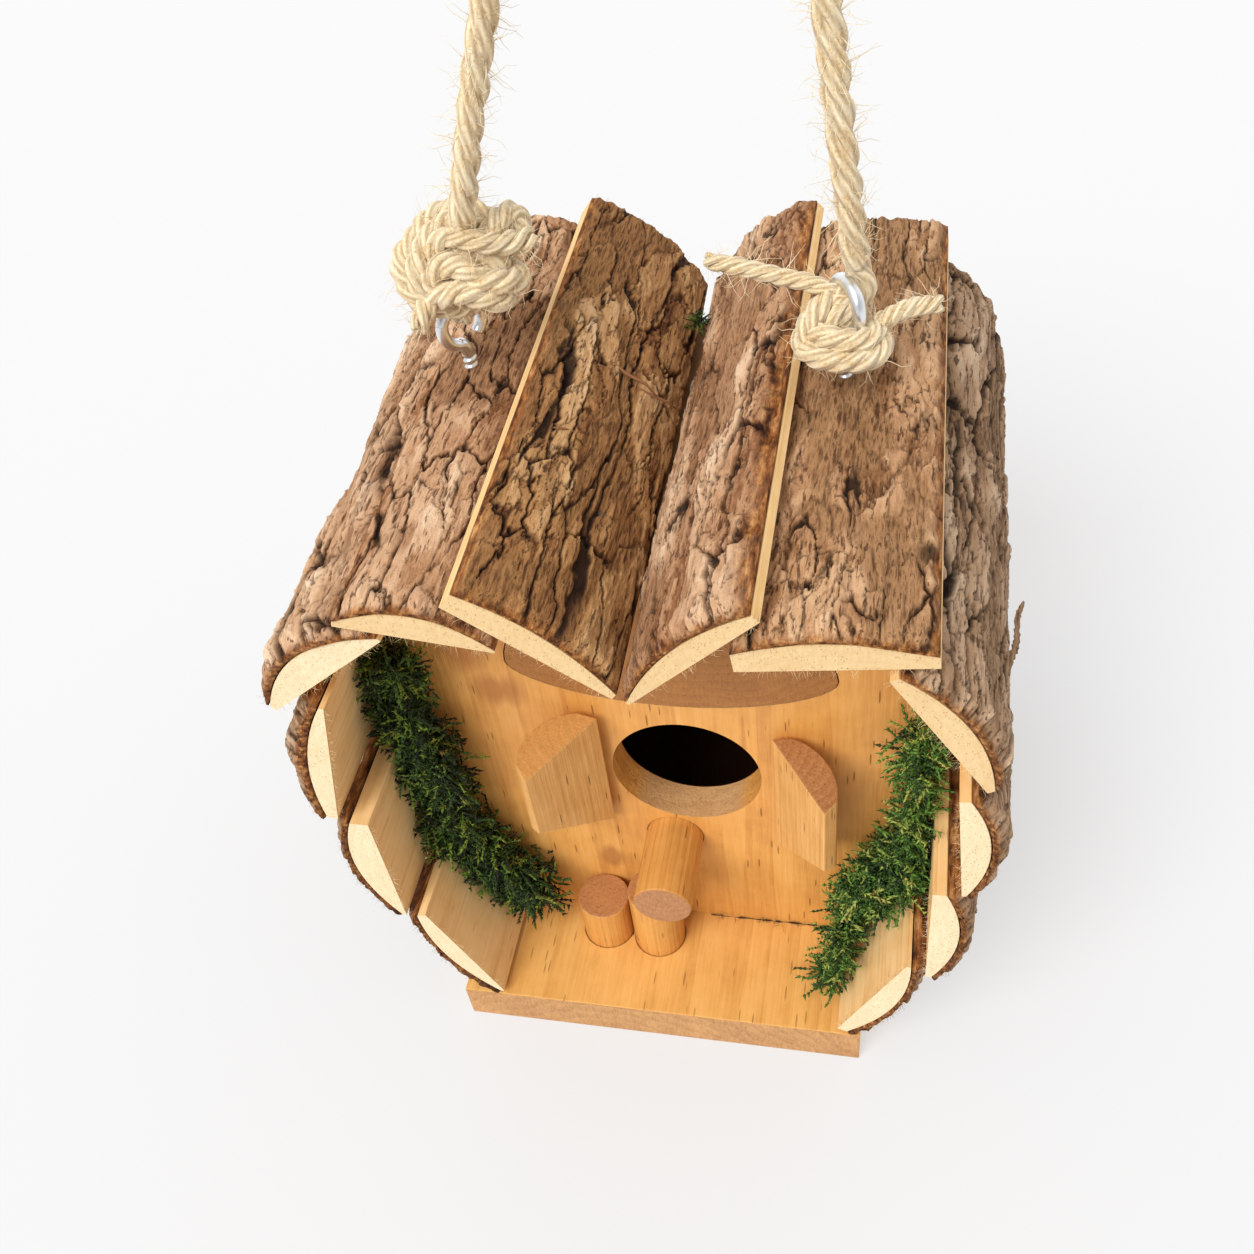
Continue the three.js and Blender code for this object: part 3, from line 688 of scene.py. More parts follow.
def bark_relief(across, along, seed, flaky):
    """Height in mm, darkness of the cracks (their own dark colour and painted shade), a tone for each plate,
    and where the outer bark has worn off.
    """
    wander = (1.9 * rough_noise(across / 8, along / 18, seed)
              + 0.42 * smooth_noise(across / 0.8, along / 1.5, seed + 3))
    drift = (5 * rough_noise(across / 8, along / 19, seed + 5)
             + 1.3 * smooth_noise(across / 0.8, along / 1.4, seed + 7))
    s, y = across + wander, along + drift
    swell = rough_noise(across / 12, along / 50, seed + 9)
    layers = 0.5 + 0.42 * rough_noise(s / 5.2, y / 19, seed + 11, 4)
    stepped = terraces(layers, 7, 0.1)
    edge, plate, slope = broken_cells(s / 6.6, y / 25, seed + 13)
    small_edge, small_plate, small_slope = broken_cells(s / 2.6, y / 8, seed + 17)
    _, chip, chip_slope = broken_cells(s / 1.25, y / 3.6, seed + 23)
    patchy = ease(-0.3, 0.3, rough_noise(across / 10, along / 30, seed + 41))
    worn = ease(0.1, 0.42, rough_noise(across / 10, along / 33, seed + 43)) * (1 - 0.6 * flaky)
    crack = (1 - ease(0.0, 0.08 + 0.11 * flaky, edge)) * (0.3 + 0.7 * patchy)
    broken = ease(-0.25, 0.2, smooth_noise(across / 6, along / 22, seed + 45))
    fissure = (1 - ease(0.02, 0.07 + 0.03 * flaky, np.abs(smooth_noise(s / 5.2, y / 58, seed + 19)))) * broken
    line = (1 - ease(0.0, 0.1, small_edge)) * ease(-0.5, 0.2, smooth_noise(s / 6, y / 15, seed + 47))
    fibre = (smooth_noise(s / 0.6, along / 6, seed + 29)
             + 0.7 * smooth_noise(across / 0.33, along / 3, seed + 31))
    plates = ((0.9 + 1.0 * flaky) * stepped + 0.4 * plate + 0.9 * slope + 0.32 * small_plate
              + 0.8 * small_slope + 0.14 * chip + 0.34 * chip_slope)
    height = (plates * (1 - 0.65 * worn) + 0.25 * swell + fibre * (0.07 + 0.09 * worn)
              - (1 + 0.5 * flaky) * crack - 0.85 * fissure - 0.34 * line * (1 - worn) - 0.7)
    # This darkness is partly the cracks' own dark colour and partly painted shade in them.
    dark = np.clip(1.05 * crack + 0.95 * fissure + 0.8 * line * (1 - 0.6 * worn), 0, 1)
    return height, dark, np.clip(0.5 * plate + 0.3 * small_plate + 0.2 * chip, 0, 1), worn


ACROSS_STEP, ALONG_STEP = ((0.27, 0.42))


FLAKY = {"roof_slab_left_outer": 1.0, "roof_slab_right_outer": 0.7, "wall_slab_right_top": 0.6,
         "roof_slab_right_inner": 0.25}
BEVELS = {"roof_slab_right_inner": (0.8, 2.6), "roof_slab_right_middle": (1.0, 1.6),
          "roof_slab_left_inner": (1.3, 0.6)}


def bark_mesh(name, seed):
    """The bark of one slab: a closed shell whose outer side carries the relief."""
    wood, bark, at = section(name)
    width = float(np.linalg.norm(np.subtract(SLABS[name]["end"], SLABS[name]["start"]))) * 1.08
    outer_count = int(width / ACROSS_STEP)
    rows = int(HOUSE_LENGTH / ALONG_STEP)
    t_outer = np.linspace(0, 1, outer_count)
    t_inner = np.linspace(1, 0, 12)
    y = np.linspace(0, HOUSE_LENGTH, rows)
    y_grid, t_grid = np.meshgrid(y, t_outer, indexing="ij")
    height, dark, plate, worn = bark_relief(t_grid * width, y_grid, seed, FLAKY.get(name, 0.0))
    ripple = rough_noise(t_outer * width / 1.6, np.full(outer_count, 3.0), seed + 61)
    near_end = np.minimum(y, HOUSE_LENGTH - y)[:, None] + 0.5 * ripple[None, :]
    first, last = BEVELS.get(name, (0.9, 0.9))
    least = 0.3 if name in BEVELS else 0.85
    near_rim = np.minimum(t_grid * width / first, (1 - t_grid) * width / last) + 0.25 * rough_noise(
        y_grid / 2.2, t_grid * 3, seed + 63)
    kept = (0.34 + 0.66 * ease(-0.3, 2.4, near_end)) * (least + (1 - least) * ease(0.0, 1.1, near_rim))
    outer = at(t_grid, wood(t_grid) + SEAT + np.maximum(bark(t_grid) + height, 0.35) * kept)
    inner = np.broadcast_to(at(t_inner, wood(t_inner) + SEAT), (rows, len(t_inner), 2))
    section_points = np.concatenate([outer, inner], axis=1)
    ragged = np.concatenate([0.35 + 0.3 * ripple, np.zeros(len(t_inner))])
    front = ragged * np.exp(-y / 1.6)[:, None]
    y_all = y[:, None] - front + front[::-1]
    points = np.stack([section_points[..., 0], y_all, section_points[..., 1]], axis=-1)
    torn = np.clip((1 - ease(0.0, 1.0, near_end)) + (1 - ease(0.2, 1.1, near_rim)), 0, 1)
    spare = np.zeros((rows, len(t_inner)))

    def whole(values, rest):
        return np.concatenate([values, spare + rest], axis=1)

    marks = {"height": whole(np.clip(0.5 + height / 3.0, 0, 1), 0.2), "dark": whole(dark, 0.3),
             "plate": whole(plate, 0.5), "torn": whole(torn, 1.0), "worn": whole(worn, 0.0)}
    return skin(placed(turned(name, points)), marks)


# %% Bark finish
def bark_finish(name, tones, inner_tone):
    """Bark colours by relief: tones from the deepest part to the palest plate, and the worn parts' tone."""
    material, shader, place = start_material(name)

    def mark(key):
        return add(material, "Attribute", attribute_name=key).outputs["Fac"]

    streak = noise_on(material, place, 900, 4, (1, 0.2, 1), 0.65)
    speck = noise_on(material, place, 2400, 3, roughness=0.7)
    line = noise_on(material, place, 1300, 3, (1, 0.14, 1), 0.6)
    blotch = noise_on(material, place, 90, 3, (1, 0.45, 1))
    level = sums(material, "ADD", sums(material, "MULTIPLY", mark("height"), 0.4),
                 sums(material, "MULTIPLY", mark("plate"), 0.2))
    level = sums(material, "ADD", level, sums(material, "MULTIPLY", streak, 0.3))
    level = sums(material, "ADD", level, sums(material, "MULTIPLY", speck, 0.12))
    level = sums(material, "ADD", level, sums(material, "MULTIPLY", blotch, 0.14))
    colour = colour_ramp(material, level, list(zip((0.36, 0.47, 0.58, 0.7, 0.85), tones)))
    inner = colour_ramp(material, line, [(0.35, tones[0]), (0.5, inner_tone), (0.7, tones[2])])
    colour = between(material, sums(material, "MULTIPLY", mark("worn"), 0.75), colour, inner)
    thin = colour_ramp(material, line, [(0.56, "#000000"), (0.64, "#ffffff")])
    colour = between(material, sums(material, "MULTIPLY", thin, 0.8), colour, linear(tones[0]))
    # Painted shade, over the cracks' own dark colour: cracks and fissures are pulled towards near black.
    colour = between(material, sums(material, "MULTIPLY", mark("dark"), 0.94), colour, linear("#190b05"))
    rust = colour_ramp(material, streak,
                       [(0.32, "#2f170a"), (0.45, "#6e3d1a"), (0.56, "#a3662f"), (0.68, "#cf9a60")])
    colour = between(material, sums(material, "MULTIPLY", mark("torn"), 0.85), colour, rust)
    relief = sums(material, "ADD", sums(material, "ADD", streak, line),
                  sums(material, "MULTIPLY", speck, 0.7))
    finish_with(material, shader, colour, 0.88, relief, 0.0004, 1.0)
    shader.inputs["Specular IOR Level"].default_value = 0.2
    return material


PALE = bark_finish("bark_pale_pink", ("#4f2b14", "#91623f", "#bd916c", "#d3ac88", "#ebceb0"), "#9f7450")
BROWN = bark_finish("bark_brown", ("#40200d", "#835531", "#b0804f", "#c79b6b", "#dbb68c"), "#95683d")
MIDDLING = bark_finish("bark_middling", ("#472710", "#8e633f", "#bd9068", "#d3aa82", "#e6c5a3"), "#a17850")
GREY = bark_finish("bark_weathered", ("#402816", "#7a5b41", "#a17f60", "#bb9a7c", "#d3b89a"), "#927354")
BARKS = {"roof_slab_left_outer": PALE, "roof_slab_left_middle": PALE, "roof_slab_left_inner": BROWN,
         "roof_slab_right_inner": PALE, "roof_slab_right_middle": MIDDLING}
for number, slab_name in enumerate(SLABS):
    piece(slab_name + "_bark_relief", [bark_mesh(slab_name, 100 * number + 7)],
          BARKS.get(slab_name, GREY), [slab_name + "_bark"])

# %% [markdown]
# ## Torn fibres
#
# A saw leaves a furry edge. Rusty bast fibres stand off the ends and cut edges of the bark, and
# pale splinters hang from the lower edge of each sawn end. They are copies of the small hairs.

# %% Fibres at the cut ends
def fibre_finish(name, dark, pale):
    material, shader, place = start_material(name)
    tone = add(material, "Attribute", attribute_name="tone").outputs["Fac"]
    colour = colour_ramp(material, tone, [(0.1, dark), (0.9, pale)])
    finish_with(material, shader, colour, 0.85, noise_on(material, place, 900), 0.0001)
    return material


def edge_spots(name, count, height_share, along_face):
    """Places in mm on both sawn ends, at a share of the bark's height, and the ways that fibres leave."""
    wood, bark, at = section(name)
    t = chance.uniform(0.01, 0.99, count)
    height = (wood(t) + SEAT + bark(t) * height_share) if height_share is not None else np.zeros(count)
    flat = at(t, height)
    front = chance.uniform(0, 1, count) < 0.8
    y = np.where(front, 0.3, HOUSE_LENGTH - 0.3)
    spots = turned(name, np.stack([flat[:, 0], y, flat[:, 1]], axis=1))
    outwards = at(t, height + 1) - flat
    ways = chance.normal(size=(count, 3)) * 0.45
    ways[:, 1] += np.where(front, -1, 1) * (0.25 if along_face else 0.8)
    sideways = -0.8 if along_face else 0.5
    ways[:, 0] += outwards[:, 0] * sideways
    ways[:, 2] += outwards[:, 1] * sideways
    return placed(spots), ways


bast = fibre_finish("bast_fibre", "#6b3a1c", "#c08a55")
splinter = fibre_finish("saw_splinter", "#e3b878", "#fbe6bd")
for slab_name in SLABS:
    rust = [edge_spots(slab_name, 80, share, False) for share in (0.08, 0.2, 0.32)]
    places, ways = (np.concatenate(group) for group in zip(*rust))
    lengths = chance.uniform(0.7, 1.9, len(places)) * MM
    piece(slab_name + "_bast", [scatter(hairs(), places, ways, lengths)], bast)
    places, ways = edge_spots(slab_name, 110, None, True)
    lengths = chance.uniform(0.7, 2.0, len(places)) * MM
    piece(slab_name + "_splinters", [scatter(hairs(), places, ways, lengths)], splinter)

# %% Strands and a lifted flake
def on_bark(name, t, y):
    """A place in mm on a slab's bark, and the way out of it."""
    wood, bark, at = section(name)
    height = wood(t) + SEAT + bark(t) + 0.5
    low, high = at(t, height), at(t, height + 1)
    spot, tip = (turned(name, np.array([flat[0], y, flat[1]])) for flat in (low, high))
    return spot, tip - spot


# slab, share across, distance along, way (across, along), length
STRANDS = [
    ("roof_slab_left_inner", 0.42, 70, (1, -0.12), 11), ("roof_slab_left_inner", 0.62, 68, (1, 0.1), 9),
    ("roof_slab_left_inner", 0.2, 44, (1, 0.5), 7), ("roof_slab_right_middle", 0.1, 76, (1, 0.25), 12),
    ("roof_slab_right_middle", 0.12, 74, (1, 0.05), 8), ("roof_slab_left_outer", 0.7, 88, (1, -0.7), 8),
    ("roof_slab_right_outer", 0.25, 60, (0.3, 1), 9),
]
strand_places, strand_ways, strand_sizes = [], [], []
for slab_name, t, y, way, length in STRANDS:
    spot, outwards = on_bark(slab_name, t, y)
    aside = np.cross([0, 1, 0], outwards)
    strand_places.append(placed(spot))
    strand_ways.append(aside * way[0] + np.array([0, way[1], 0]) + outwards * 0.03)
    strand_sizes.append(length * MM)
twigs = [template([[0, 0, 0], [0.3, 0.03, 0.02], [0.7, -0.02, 0.0], [1, 0.05, 0.02]],
                  [0.02, 0.035, 0.03, 0.012], 5)]
piece("bark_strands", [scatter(twigs, strand_places, strand_ways, strand_sizes)],
      fibre_finish("twig_brown", "#4a2814", "#8a5a34"))

flake_line = smooth_path([[0, 0, 0], [3, 0.3, 0.5], [8, -0.4, 1.4], [13, 0.5, 2.2], [17, 0.2, 3.4]], 0.4)
rising = np.linspace(0.02, 1, len(flake_line))
flake_width = 2.1 * np.sqrt(rising * np.linspace(1, 0.02, len(flake_line)))
flake_rings = tube_rings(flake_line, flake_width * (1 + 0.15 * chance.normal(size=len(flake_line))), 12)
flake_rings[..., 2] = flake_line[:, None, 2] + (flake_rings[..., 2] - flake_line[:, None, 2]) * 0.22
flake = skin(flake_rings * MM, {"height": 0.5, "dark": 0.0, "plate": 0.4, "torn": 0.0, "worn": 0.0})
spot, outwards = on_bark("roof_slab_right_outer", 0.97, 24)
lifted = Matrix((Vector((0, 1, 0)), Vector(outwards).cross(Vector((0, 1, 0))), Vector(outwards))).transposed()
flake.transform(Matrix.Translation(Vector(placed(spot))) @ lifted.to_4x4())
piece("bark_flake", [flake], GREY)

# %% [markdown]
# ## Wood
#
# Wood looks right when its grain is solid: rings round a far-off pith, drawn out along the
# board, with pores and fibres. A board shows stripes on its faces and arcs on its ends from the
# same three-dimensional pattern, so one recipe serves every piece, with the axis of the grain
# and the place of the pith as its settings.

# %% Wood finish
PORE_CELLS = 860.0  # to a metre, across the grain
DASH_CELLS = 2100.0  # the same on a sawn end, where the pores are cut across
BARE_SHARE = 0.3  # of the cells hold no pore
DRAWN = 0.05  # how much slower the pattern runs along the grain


def pore_cells(material, place, stretch, cells, size):
    """Small pores, 1 inside and 0 outside, in most of the cells that fill the wood."""
    mapped = add(material, "Mapping", {"Vector": place, "Scale": stretch}).outputs[0]
    made = add(material, "TexVoronoi", {"Vector": mapped, "Scale": cells})
    drawn_lot = add(material, "SeparateColor", {0: made.outputs["Color"]}).outputs[0]
    chosen = sums(material, "GREATER_THAN", drawn_lot, BARE_SHARE)
    dot = colour_ramp(material, made.outputs["Distance"], [(size[0], "#ffffff"), (size[1], "#000000")])
    return sums(material, "MULTIPLY", dot, chosen)


def wood_finish(name, axis, pith, ring, colours, pores=0.5, roughness=0.6, end_colour=None,
                unlit=None, stains=()):
    """axis is the grain's direction 'X', 'Y' or 'Z', pith a point on the log's middle line in metres,
    ring the width of a year in mm, and colours (late wood, mean, early wood). unlit is the part inside
    the nest that is darkened with painted shade: its middle and half depth along Y, and its half width, in
    metres.
    stains are (place in mm, radius in mm, hex)."""
    material, shader, place = start_material(name)
    drawn = {"X": (DRAWN, 1, 1), "Y": (1, DRAWN, 1), "Z": (1, 1, DRAWN)}[axis]
    flat = {"X": (0, 1, 1), "Y": (1, 0, 1), "Z": (1, 1, 0)}[axis]
    bend = noise_on(material, place, 38, 3, drawn)
    from_pith = add(material, "VectorMath", {0: place, 1: pith}, operation="SUBTRACT").outputs[0]
    from_pith = add(material, "VectorMath", {0: from_pith, 1: flat}, operation="MULTIPLY").outputs[0]
    radius = add(material, "VectorMath", {0: from_pith}, operation="LENGTH").outputs["Value"]
    years = sums(material, "ADD", sums(material, "MULTIPLY", radius, 1000 / ring),
                 sums(material, "MULTIPLY", bend, 5.0))
    year = sums(material, "FRACT", years)
    fibre = noise_on(material, place, 1100, 4, drawn, 0.6)
    coarse = noise_on(material, place, 260, 3, drawn, 0.6)
    mottle = noise_on(material, place, 110, 4, (1, 1, 1), 0.65)
    level = sums(material, "ADD", sums(material, "MULTIPLY", sums(material, "POWER", year, 2.2), 0.12),
                 sums(material, "ADD", sums(material, "MULTIPLY", fibre, 0.4),
                      sums(material, "MULTIPLY", coarse, 0.12)))
    level = sums(material, "ADD", level, sums(material, "MULTIPLY", mottle, 0.36))
    late, mean, early = colours
    colour = colour_ramp(material, level, [(0.3, early), (0.46, mean), (0.66, late)])
    along_grain = tuple(0.09 if share < 1 else 1 for share in drawn)
    pore = pore_cells(material, place, along_grain, PORE_CELLS, (0.1, 0.16))
    colour = between(material, sums(material, "MULTIPLY", pore, pores), colour, linear("#5d3312"))
    if end_colour:
        normal = add(material, "TexCoord").outputs["Normal"]
        facing_end = add(material, "VectorMath", {0: normal, 1: tuple(1.0 - v for v in flat)},
                         operation="DOT_PRODUCT").outputs["Value"]
        end_share = colour_ramp(material, sums(material, "ABSOLUTE", facing_end),
                                [(0.6, "#000000"), (0.8, "#ffffff")])
        sawn = noise_on(material, place, 1900, 3, (1, 1, 0.3), 0.7)
        arcs = sums(material, "ADD", sums(material, "MULTIPLY", year, 0.1),
                    sums(material, "MULTIPLY", sawn, 0.55))
        arcs = sums(material, "ADD", arcs, sums(material, "MULTIPLY", mottle, 0.36))
        ends = colour_ramp(material, arcs, [(0.3, end_colour[0]), (0.64, end_colour[1])])
        dash = pore_cells(material, place, (1, 1, 0.45), DASH_CELLS, (0.14, 0.24))
        ends = between(material, sums(material, "MULTIPLY", dash, 0.5), ends, linear("#8a5424"))
        colour = between(material, end_share, colour, ends)
    for spot, reach, code in stains:
        away = add(material, "VectorMath", {0: place, 1: tuple(placed(spot))},
                   operation="DISTANCE").outputs["Value"]
        uneven = sums(material, "ADD", sums(material, "MULTIPLY", away, 1000 / reach),
                      sums(material, "MULTIPLY", coarse, 0.9))
        mask = colour_ramp(material, uneven, [(0.7, "#ffffff"), (1.0, "#000000")])
        colour = between(material, sums(material, "MULTIPLY", mask, 0.6), colour, linear(code))
    # Painted shade: inside the nest, between the panels, the wood is darkened towards dark brown.
    if unlit:
        inwards = add(material, "SeparateXYZ", {0: place}).outputs
        from_middle = sums(material, "ABSOLUTE", sums(material, "SUBTRACT", inwards[1], unlit[0]))
        deep = sums(material, "LESS_THAN", from_middle, unlit[1])
        narrow = sums(material, "LESS_THAN", sums(material, "ABSOLUTE", inwards[0]), unlit[2])
        colour = between(material, sums(material, "MULTIPLY", deep, narrow), colour, linear("#3a2214"))
    grain = sums(material, "ADD", fibre, coarse)
    finish_with(material, shader, colour, roughness, sums(material, "SUBTRACT", grain, pore), 0.00022, 0.8)
    return material


def dress(node, finish):
    """A CAD node keeps its shape and takes a finish."""
    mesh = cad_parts[node].data
    mesh.materials.clear()
    mesh.materials.append(finish)


def softened(node, finish, width):
    """A copy of a CAD node whose sharp edges are rounded, which stands in for it."""
    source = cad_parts[node]
    soft = bmesh.new()
    soft.from_mesh(source.data)
    bmesh.ops.transform(soft, matrix=source.matrix_world, verts=soft.verts)
    bmesh.ops.remove_doubles(soft, verts=soft.verts, dist=1e-6)
    bmesh.ops.dissolve_limit(soft, angle_limit=math.radians(0.5), verts=soft.verts, edges=soft.edges)
    sharp = [edge for edge in soft.edges
             if len(edge.link_faces) == 2 and edge.calc_face_angle() > math.radians(35)]
    bmesh.ops.bevel(soft, geom=sharp, offset=width * MM, offset_type="OFFSET", segments=2, profile=0.6,
                    affect="EDGES", clamp_overlap=True)
    bmesh.ops.triangulate(soft, faces=soft.faces)
    mesh = bpy.data.meshes.new(node)
    soft.to_mesh(mesh)
    soft.free()
    made = piece(node + "_softened", [mesh], finish, [node])
    made.data.polygons.foreach_set("use_smooth", np.zeros(len(made.data.polygons), bool))
    return made


INSIDE = (0.0086, 0.0356, 0.044)  # the room between the panels, darkened with painted shade: middle, half depth, half width
INSIDE_FLOOR = INSIDE[:2] + (0.033,)  # narrower, where the lowest slabs lean in
BOARD_TONES = ("#cd9149", "#e2aa5c", "#ebb66c")
PANEL_TONES = ("#c68540", "#dfa050", "#e8ad62")
base_finish = wood_finish("base_board_wood", "Y", (-0.01, 0, -0.05), 3.4, BOARD_TONES, 0.35, 0.5,
                          ("#a06c38", "#d09a5e"), unlit=INSIDE_FLOOR)
panel_finish = wood_finish("end_panel_wood", "Z", (0.012, 0.05, 0), 4.2, PANEL_TONES, 0.55, 0.5,
                           ("#b58350", "#d8ad78"), unlit=INSIDE,
                           stains=[((-36, 27, 104), 17, "#a5602a"), ((-31, 27, 90), 11, "#a5602a"),
                                   ((-13, 27, 32), 9, "#9a5a28"), ((31, 27, 66), 7, "#a86a34"),
                                   ((37, 27, 50), 9, "#a86a34")])
rail_finish = wood_finish("rail_wood", "Y", (0.005, 0, 0.14), 2.6,
                          ("#85501f", "#a06a30", "#b27a3e"), 0.6, 0.6, ("#8f5a28", "#b0763a"))
softened("base_board", base_finish, 0.4)
dress("front_panel", panel_finish)
dress("back_panel", panel_finish)
dress("roof_rail", rail_finish)

DOWEL_TONES = ("#b97c38", "#d6984c", "#e0a75c")
DOWEL_ENDS = ("#97603a", "#bd8350")
softened("perch", wood_finish("perch_wood", "Y", (0.001, 0, 0.05), 1.6, DOWEL_TONES, 0.5, 0.5, DOWEL_ENDS),
         0.5)
for node in ("post_left", "post_middle"):
    softened(node, wood_finish(node + "_wood", "Z", (-0.01, -0.05, 0), 1.5, DOWEL_TONES, 0.5, 0.5, DOWEL_ENDS,
                               stains=[((-7.2, 16.2, 14.5), 1.7, "#3c1c0a")]), 0.4)
HALF_ROUND_ENDS = {"half_round_left": ("#bd8444", "#d8a05c"), "half_round_right": ("#8e5a32", "#c08a58")}
for node, ends in HALF_ROUND_ENDS.items():
    softened(node, wood_finish(node + "_wood", "Z", (0.0, -0.03, 0), 2.0,
                               ("#c68d4a", "#dfa861", "#eab874"), 0.7, 0.55, ends), 0.35)

SAWN_TONES = ("#d9a966", "#ecc385", "#f4d096")
SAWN_ENDS = ("#d6b07a", "#e3c492")
PALE_ENDS = ("#e2c698", "#efdab4")
PALE_SAWN = [name for name in SLABS if name.startswith("wall")] + ["roof_slab_left_outer"]
for slab_name in SLABS:
    slab_at = section(slab_name)[2]
    pith_x, pith_z = slab_at(np.array(0.5), np.array(-26.0))
    pith = tuple(placed([pith_x, 0, pith_z]))
    dress(slab_name, wood_finish(slab_name + "_wood", "Y", pith, 2.1, SAWN_TONES, 0.2, 0.75,
                                 PALE_ENDS if slab_name in PALE_SAWN else SAWN_ENDS))

# %% Splinters in the seam
seam_x = chance.choice([11.0, 14.5, 21.0, 24.5, 31.0, 34.0], 70) + chance.normal(size=70) * 1.3
seam = placed(np.stack([seam_x, 26.9 - chance.uniform(0, 1.2, 70), 11.1 + chance.uniform(0, 0.5, 70)],
                       axis=1))
seam_ways = chance.normal(size=(70, 3)) * [1, 0.8, 0.35]
line_x = np.linspace(9, 37, 60)
line_z = 11.05 + 0.12 * rough_noise(line_x / 1.7, line_x * 0, 91)
line_path = np.stack([line_x, np.full(60, 26.85), line_z], axis=1)
line_width = (0.16 + 0.1 * smooth_noise(line_x / 1.1, line_x * 0, 93)) * MM
piece("seam_line", [skin(tube_rings(placed(line_path), line_width, 6))],
      fibre_finish("seam_shadow", "#3c1e0c", "#5a3012"))
piece("seam_splinters", [scatter(hairs(), seam, seam_ways, chance.uniform(1.0, 3.0, 70) * MM)],
      fibre_finish("seam_fibre", "#34180a", "#8a5426"))

# %% [markdown]
# ## Metal
#
# The screw eyes are bright zinc-plated wire, bent to a ring that doesn't quite close, on a
# threaded shank. The nails are dull steel, driven under the bark.

# %% Screw eyes
def metal_finish(name, dark, pale, roughness):
    material, shader, place = start_material(name)
    mottle = noise_on(material, place, 700, 3)
    colour = colour_ramp(material, mottle, [(0.3, dark), (0.7, pale)])
    finish_with(material, shader, colour, roughness, mottle, 0.00004, 0.5)
    shader.inputs["Metallic"].default_value = 1.0
    return material


zinc = metal_finish("zinc_plate", "#dfe3e8", "#f2f4f6", 0.3)
steel = metal_finish("dull_steel", "#4c443c", "#6f6c68", 0.6)
EYE_WIRE, EYE_RING, EYE_THREAD = 1.25, 4.6, 1.5


def screw_eye(x, y, bark_top, ring_height, foot, turn):
    """A ring and a threaded shank as one wire, in mm."""
    angle = math.radians(turn)
    flat = np.array([math.cos(angle), math.sin(angle), 0])
    ring_middle = np.array([x, y, ring_height])
    bends = np.linspace(math.radians(-62), math.radians(258), 30)
    ring = [ring_middle + EYE_RING * (flat * math.cos(b) + np.array([0, 0, math.sin(b)])) for b in bends]
    foot_end = np.array([x, y, foot])
    shank_top = np.array([x, y, ring_height - EYE_RING - 2.2])
    line = smooth_path([foot_end, (foot_end + shank_top) / 2, shank_top] + ring[::-1][:-1], 0.25)
    rise = line[:, 2][:, None] - foot
    turns = np.linspace(0, 1, 16, endpoint=False)[None, :]
    on_shank = (np.arange(len(line)) < np.argmax(line[:, 2] > shank_top[2]))[:, None]
    ridge = np.cos(2 * math.pi * (rise / EYE_THREAD - turns))
    threaded = on_shank & (line[:, 2][:, None] < bark_top + 2.6)
    radius = np.where(threaded, EYE_WIRE + 0.22 * ridge, EYE_WIRE)
    return skin(placed(tube_rings(line, radius, 16)))


piece("screw_eye_left_wire", [screw_eye(-36.3, 66, 143, 152.7, 136.4, 52)], zinc,
      ["screw_eye_left"])
piece("screw_eye_right_wire", [screw_eye(36.8, 66, 142.2, 157.4, 134.4, -58)], zinc,
      ["screw_eye_right"])
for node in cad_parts:
    if node.startswith("nail_"):
        dress(node, steel)

# %% [markdown]
# ## Moss
#
# The moss is dried and dyed: dark green, stringy sprigs packed into the front corners. One
# sprig is a bent stem with small leaves. Thousands of copies fill most of the space kept for the
# moss, denser on its open side, each with its own tone. The outermost push a few millimetres into
# the slabs and boards round them.

# %% Moss sprigs
def moss_finish(name, greens):
    material, shader, place = start_material(name)
    tone = add(material, "Attribute", attribute_name="tone").outputs["Fac"]
    patch = noise_on(material, place, 180, 3)
    level = sums(material, "ADD", sums(material, "MULTIPLY", tone, 0.6),
                 sums(material, "MULTIPLY", patch, 0.4))
    green = colour_ramp(material, level, list(zip((0.15, 0.4, 0.6, 0.76, 0.88), greens)))
    finish_with(material, shader, green, 0.8, patch, 0.0002, 0.4)
    return material


def sprig(seed):
    """A bent stem one unit long with pairs of small leaves."""
    rng = np.random.default_rng(seed)
    bend = rng.uniform(-0.7, 0.7, 2)
    t = np.linspace(0, 1, 5)
    line = np.stack([t, bend[0] * t**2, bend[1] * t**2], axis=1)
    whole = bmesh.new()
    whole.from_mesh(skin(tube_rings(line, np.array([0.03, 0.028, 0.024, 0.018, 0.006]), 3)))
    for leaf in range(7):
        share = 0.1 + 0.13 * leaf
        place = [share, bend[0] * share**2, bend[1] * share**2]
        blade = bmesh.ops.create_cone(whole, cap_ends=True, segments=3, radius1=0.075, radius2=0, depth=0.27)
        turn = (Matrix.Rotation(rng.uniform(0, 6.28), 4, "X")
                @ Matrix.Rotation(math.radians(rng.uniform(35, 70)), 4, "Y")
                @ Matrix.Translation((0, 0, 0.12)))
        bmesh.ops.transform(whole, matrix=Matrix.Translation(place) @ turn, verts=blade["verts"])
    mesh = bpy.data.meshes.new("sprig")
    whole.to_mesh(mesh)
    whole.free()
    mesh.attributes.new("tone", "FLOAT", "POINT")
    return mesh


def inside(outline, x, z):
    """Whether points lie within an outline."""
    hit = np.zeros(len(x), bool)
    for (x0, z0), (x1, z1) in zip(outline, outline[1:] + outline[:1]):
        crosses = (z0 > z) != (z1 > z)
        hit ^= crosses & (x < (x1 - x0) * (z - z0) / ((z1 - z0) or 1e-9) + x0)
    return hit


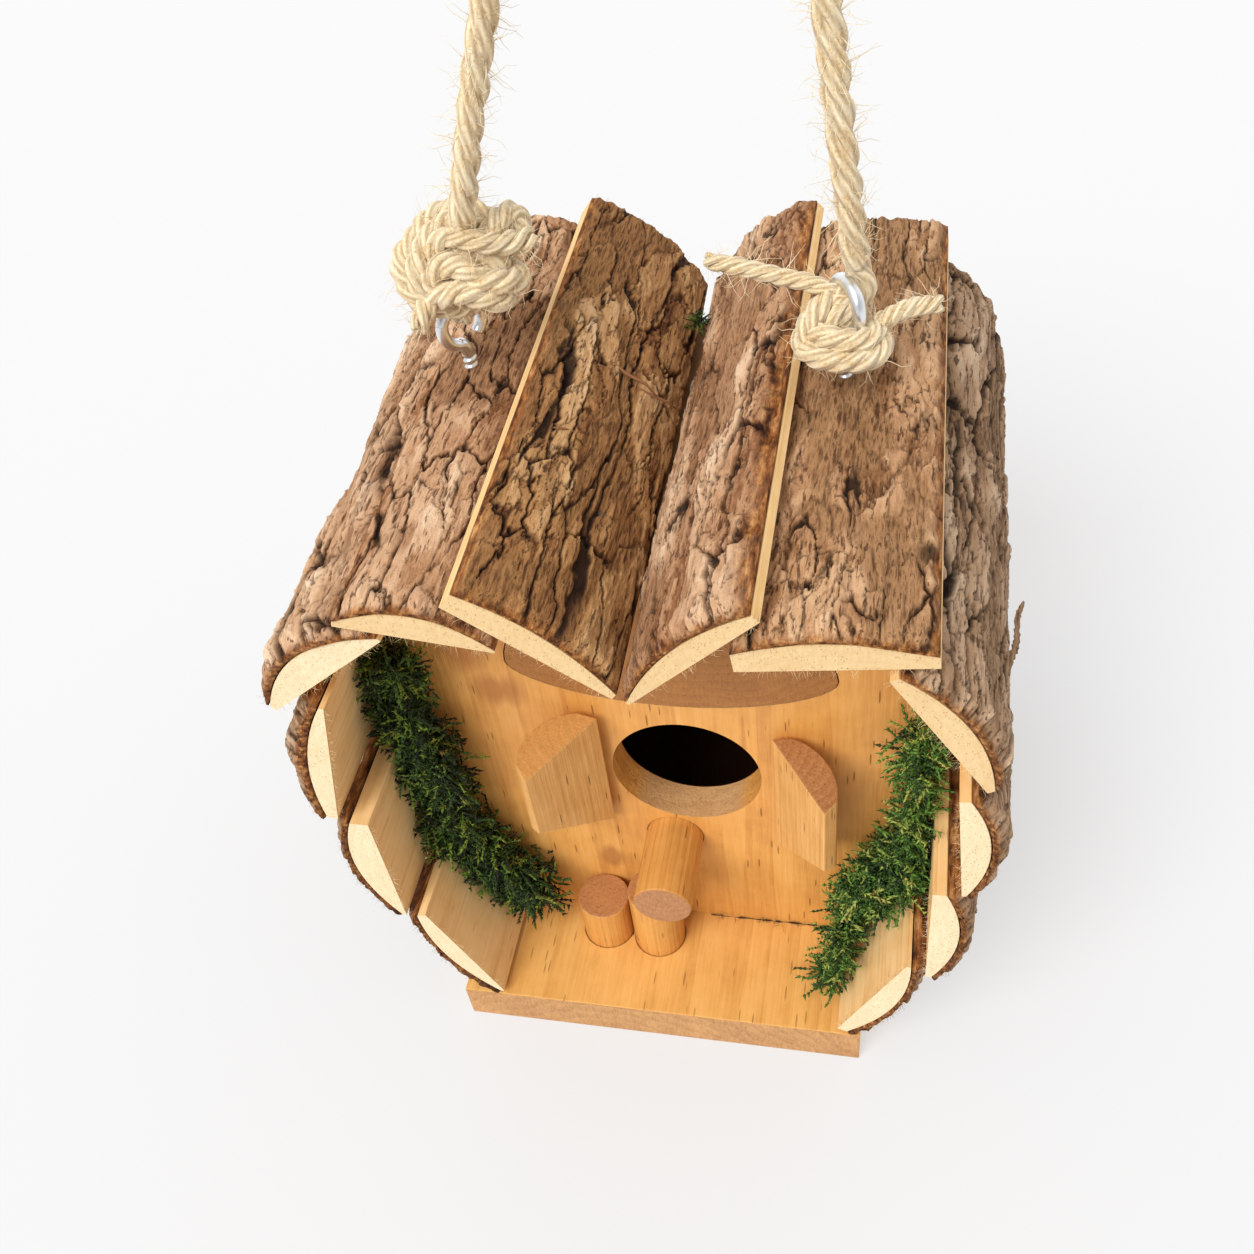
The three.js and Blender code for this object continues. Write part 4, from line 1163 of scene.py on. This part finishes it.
def packed_moss(outline, front, back, count):
    """Places, ways and sizes for sprigs in a flat outline (x, z) from front to back, in mm."""
    corners = np.array(outline)
    low, high = corners.min(axis=0), corners.max(axis=0)
    spots = chance.uniform(low, high, (count * 4, 2))
    spots = spots[inside([tuple(c) for c in outline], spots[:, 0], spots[:, 1])][:count]
    lumps = smooth_noise(spots[:, 0] / 5, spots[:, 1] / 5, 77)
    depth = chance.power(2.2, len(spots))
    y = back - (back - front) * (0.72 + 0.28 * lumps) * depth
    ways = chance.normal(size=(len(spots), 3)) * [1, 0.7, 1] + [0, -0.55, 0.1]
    return placed(np.stack([spots[:, 0], y, spots[:, 1]], axis=1)), ways, \
        chance.uniform(2.4, 6.2, len(spots)) * MM


moss_green = moss_finish("moss_dark", ("#0c1404", "#1f3009", "#3a5a14", "#7f962e", "#8a6430"))
moss_olive = moss_finish("moss_olive", ("#182a0c", "#35581a", "#5f8a30", "#a8b454", "#a8884c"))
sprigs = [sprig(k) for k in range(6)]
MOSS_LEFT = [(-52, 110), (-54, 90), (-53, 78), (-51, 47), (-46.6, 43.2), (-38, 22), (-32.5, 19), (-27, 24),
             (-27, 29), (-37, 42), (-42, 61), (-41, 79), (-45, 88), (-44, 106)]
MOSS_RIGHT = [(58, 96), (53, 95), (50.5, 87), (54, 80), (53.4, 68), (49, 55), (41.5, 42), (39, 28),
              (41.5, 20), (53.6, 45), (57, 47), (56.5, 73)]
MOSS_TAIL = [(36, 11), (38, 11), (44, 31), (40.5, 31)]
places, ways, sizes = packed_moss(MOSS_LEFT, 14, 26.9, 2900)
piece("moss_left_sprigs", [scatter(sprigs, places, ways, sizes)], moss_green, ["moss_left"])
right = packed_moss(MOSS_RIGHT, 14, 26.9, 1500)
tail = packed_moss(MOSS_TAIL, 5, 20, 240)
places, ways, sizes = (np.concatenate(group) for group in zip(right, tail))
piece("moss_right_sprigs", [scatter(sprigs, places, ways, sizes)], moss_olive, ["moss_right"])
tuft_spots = placed(np.array([3.4, 100, 130.2]) + chance.normal(size=(60, 3)) * 0.9)
tuft_ways = chance.normal(size=(60, 3)) + [0, 0, 0.8]
piece("moss_tuft_sprigs", [scatter(sprigs, tuft_spots, tuft_ways, np.full(60, 2.2 * MM))], moss_green,
      ["moss_tuft"])
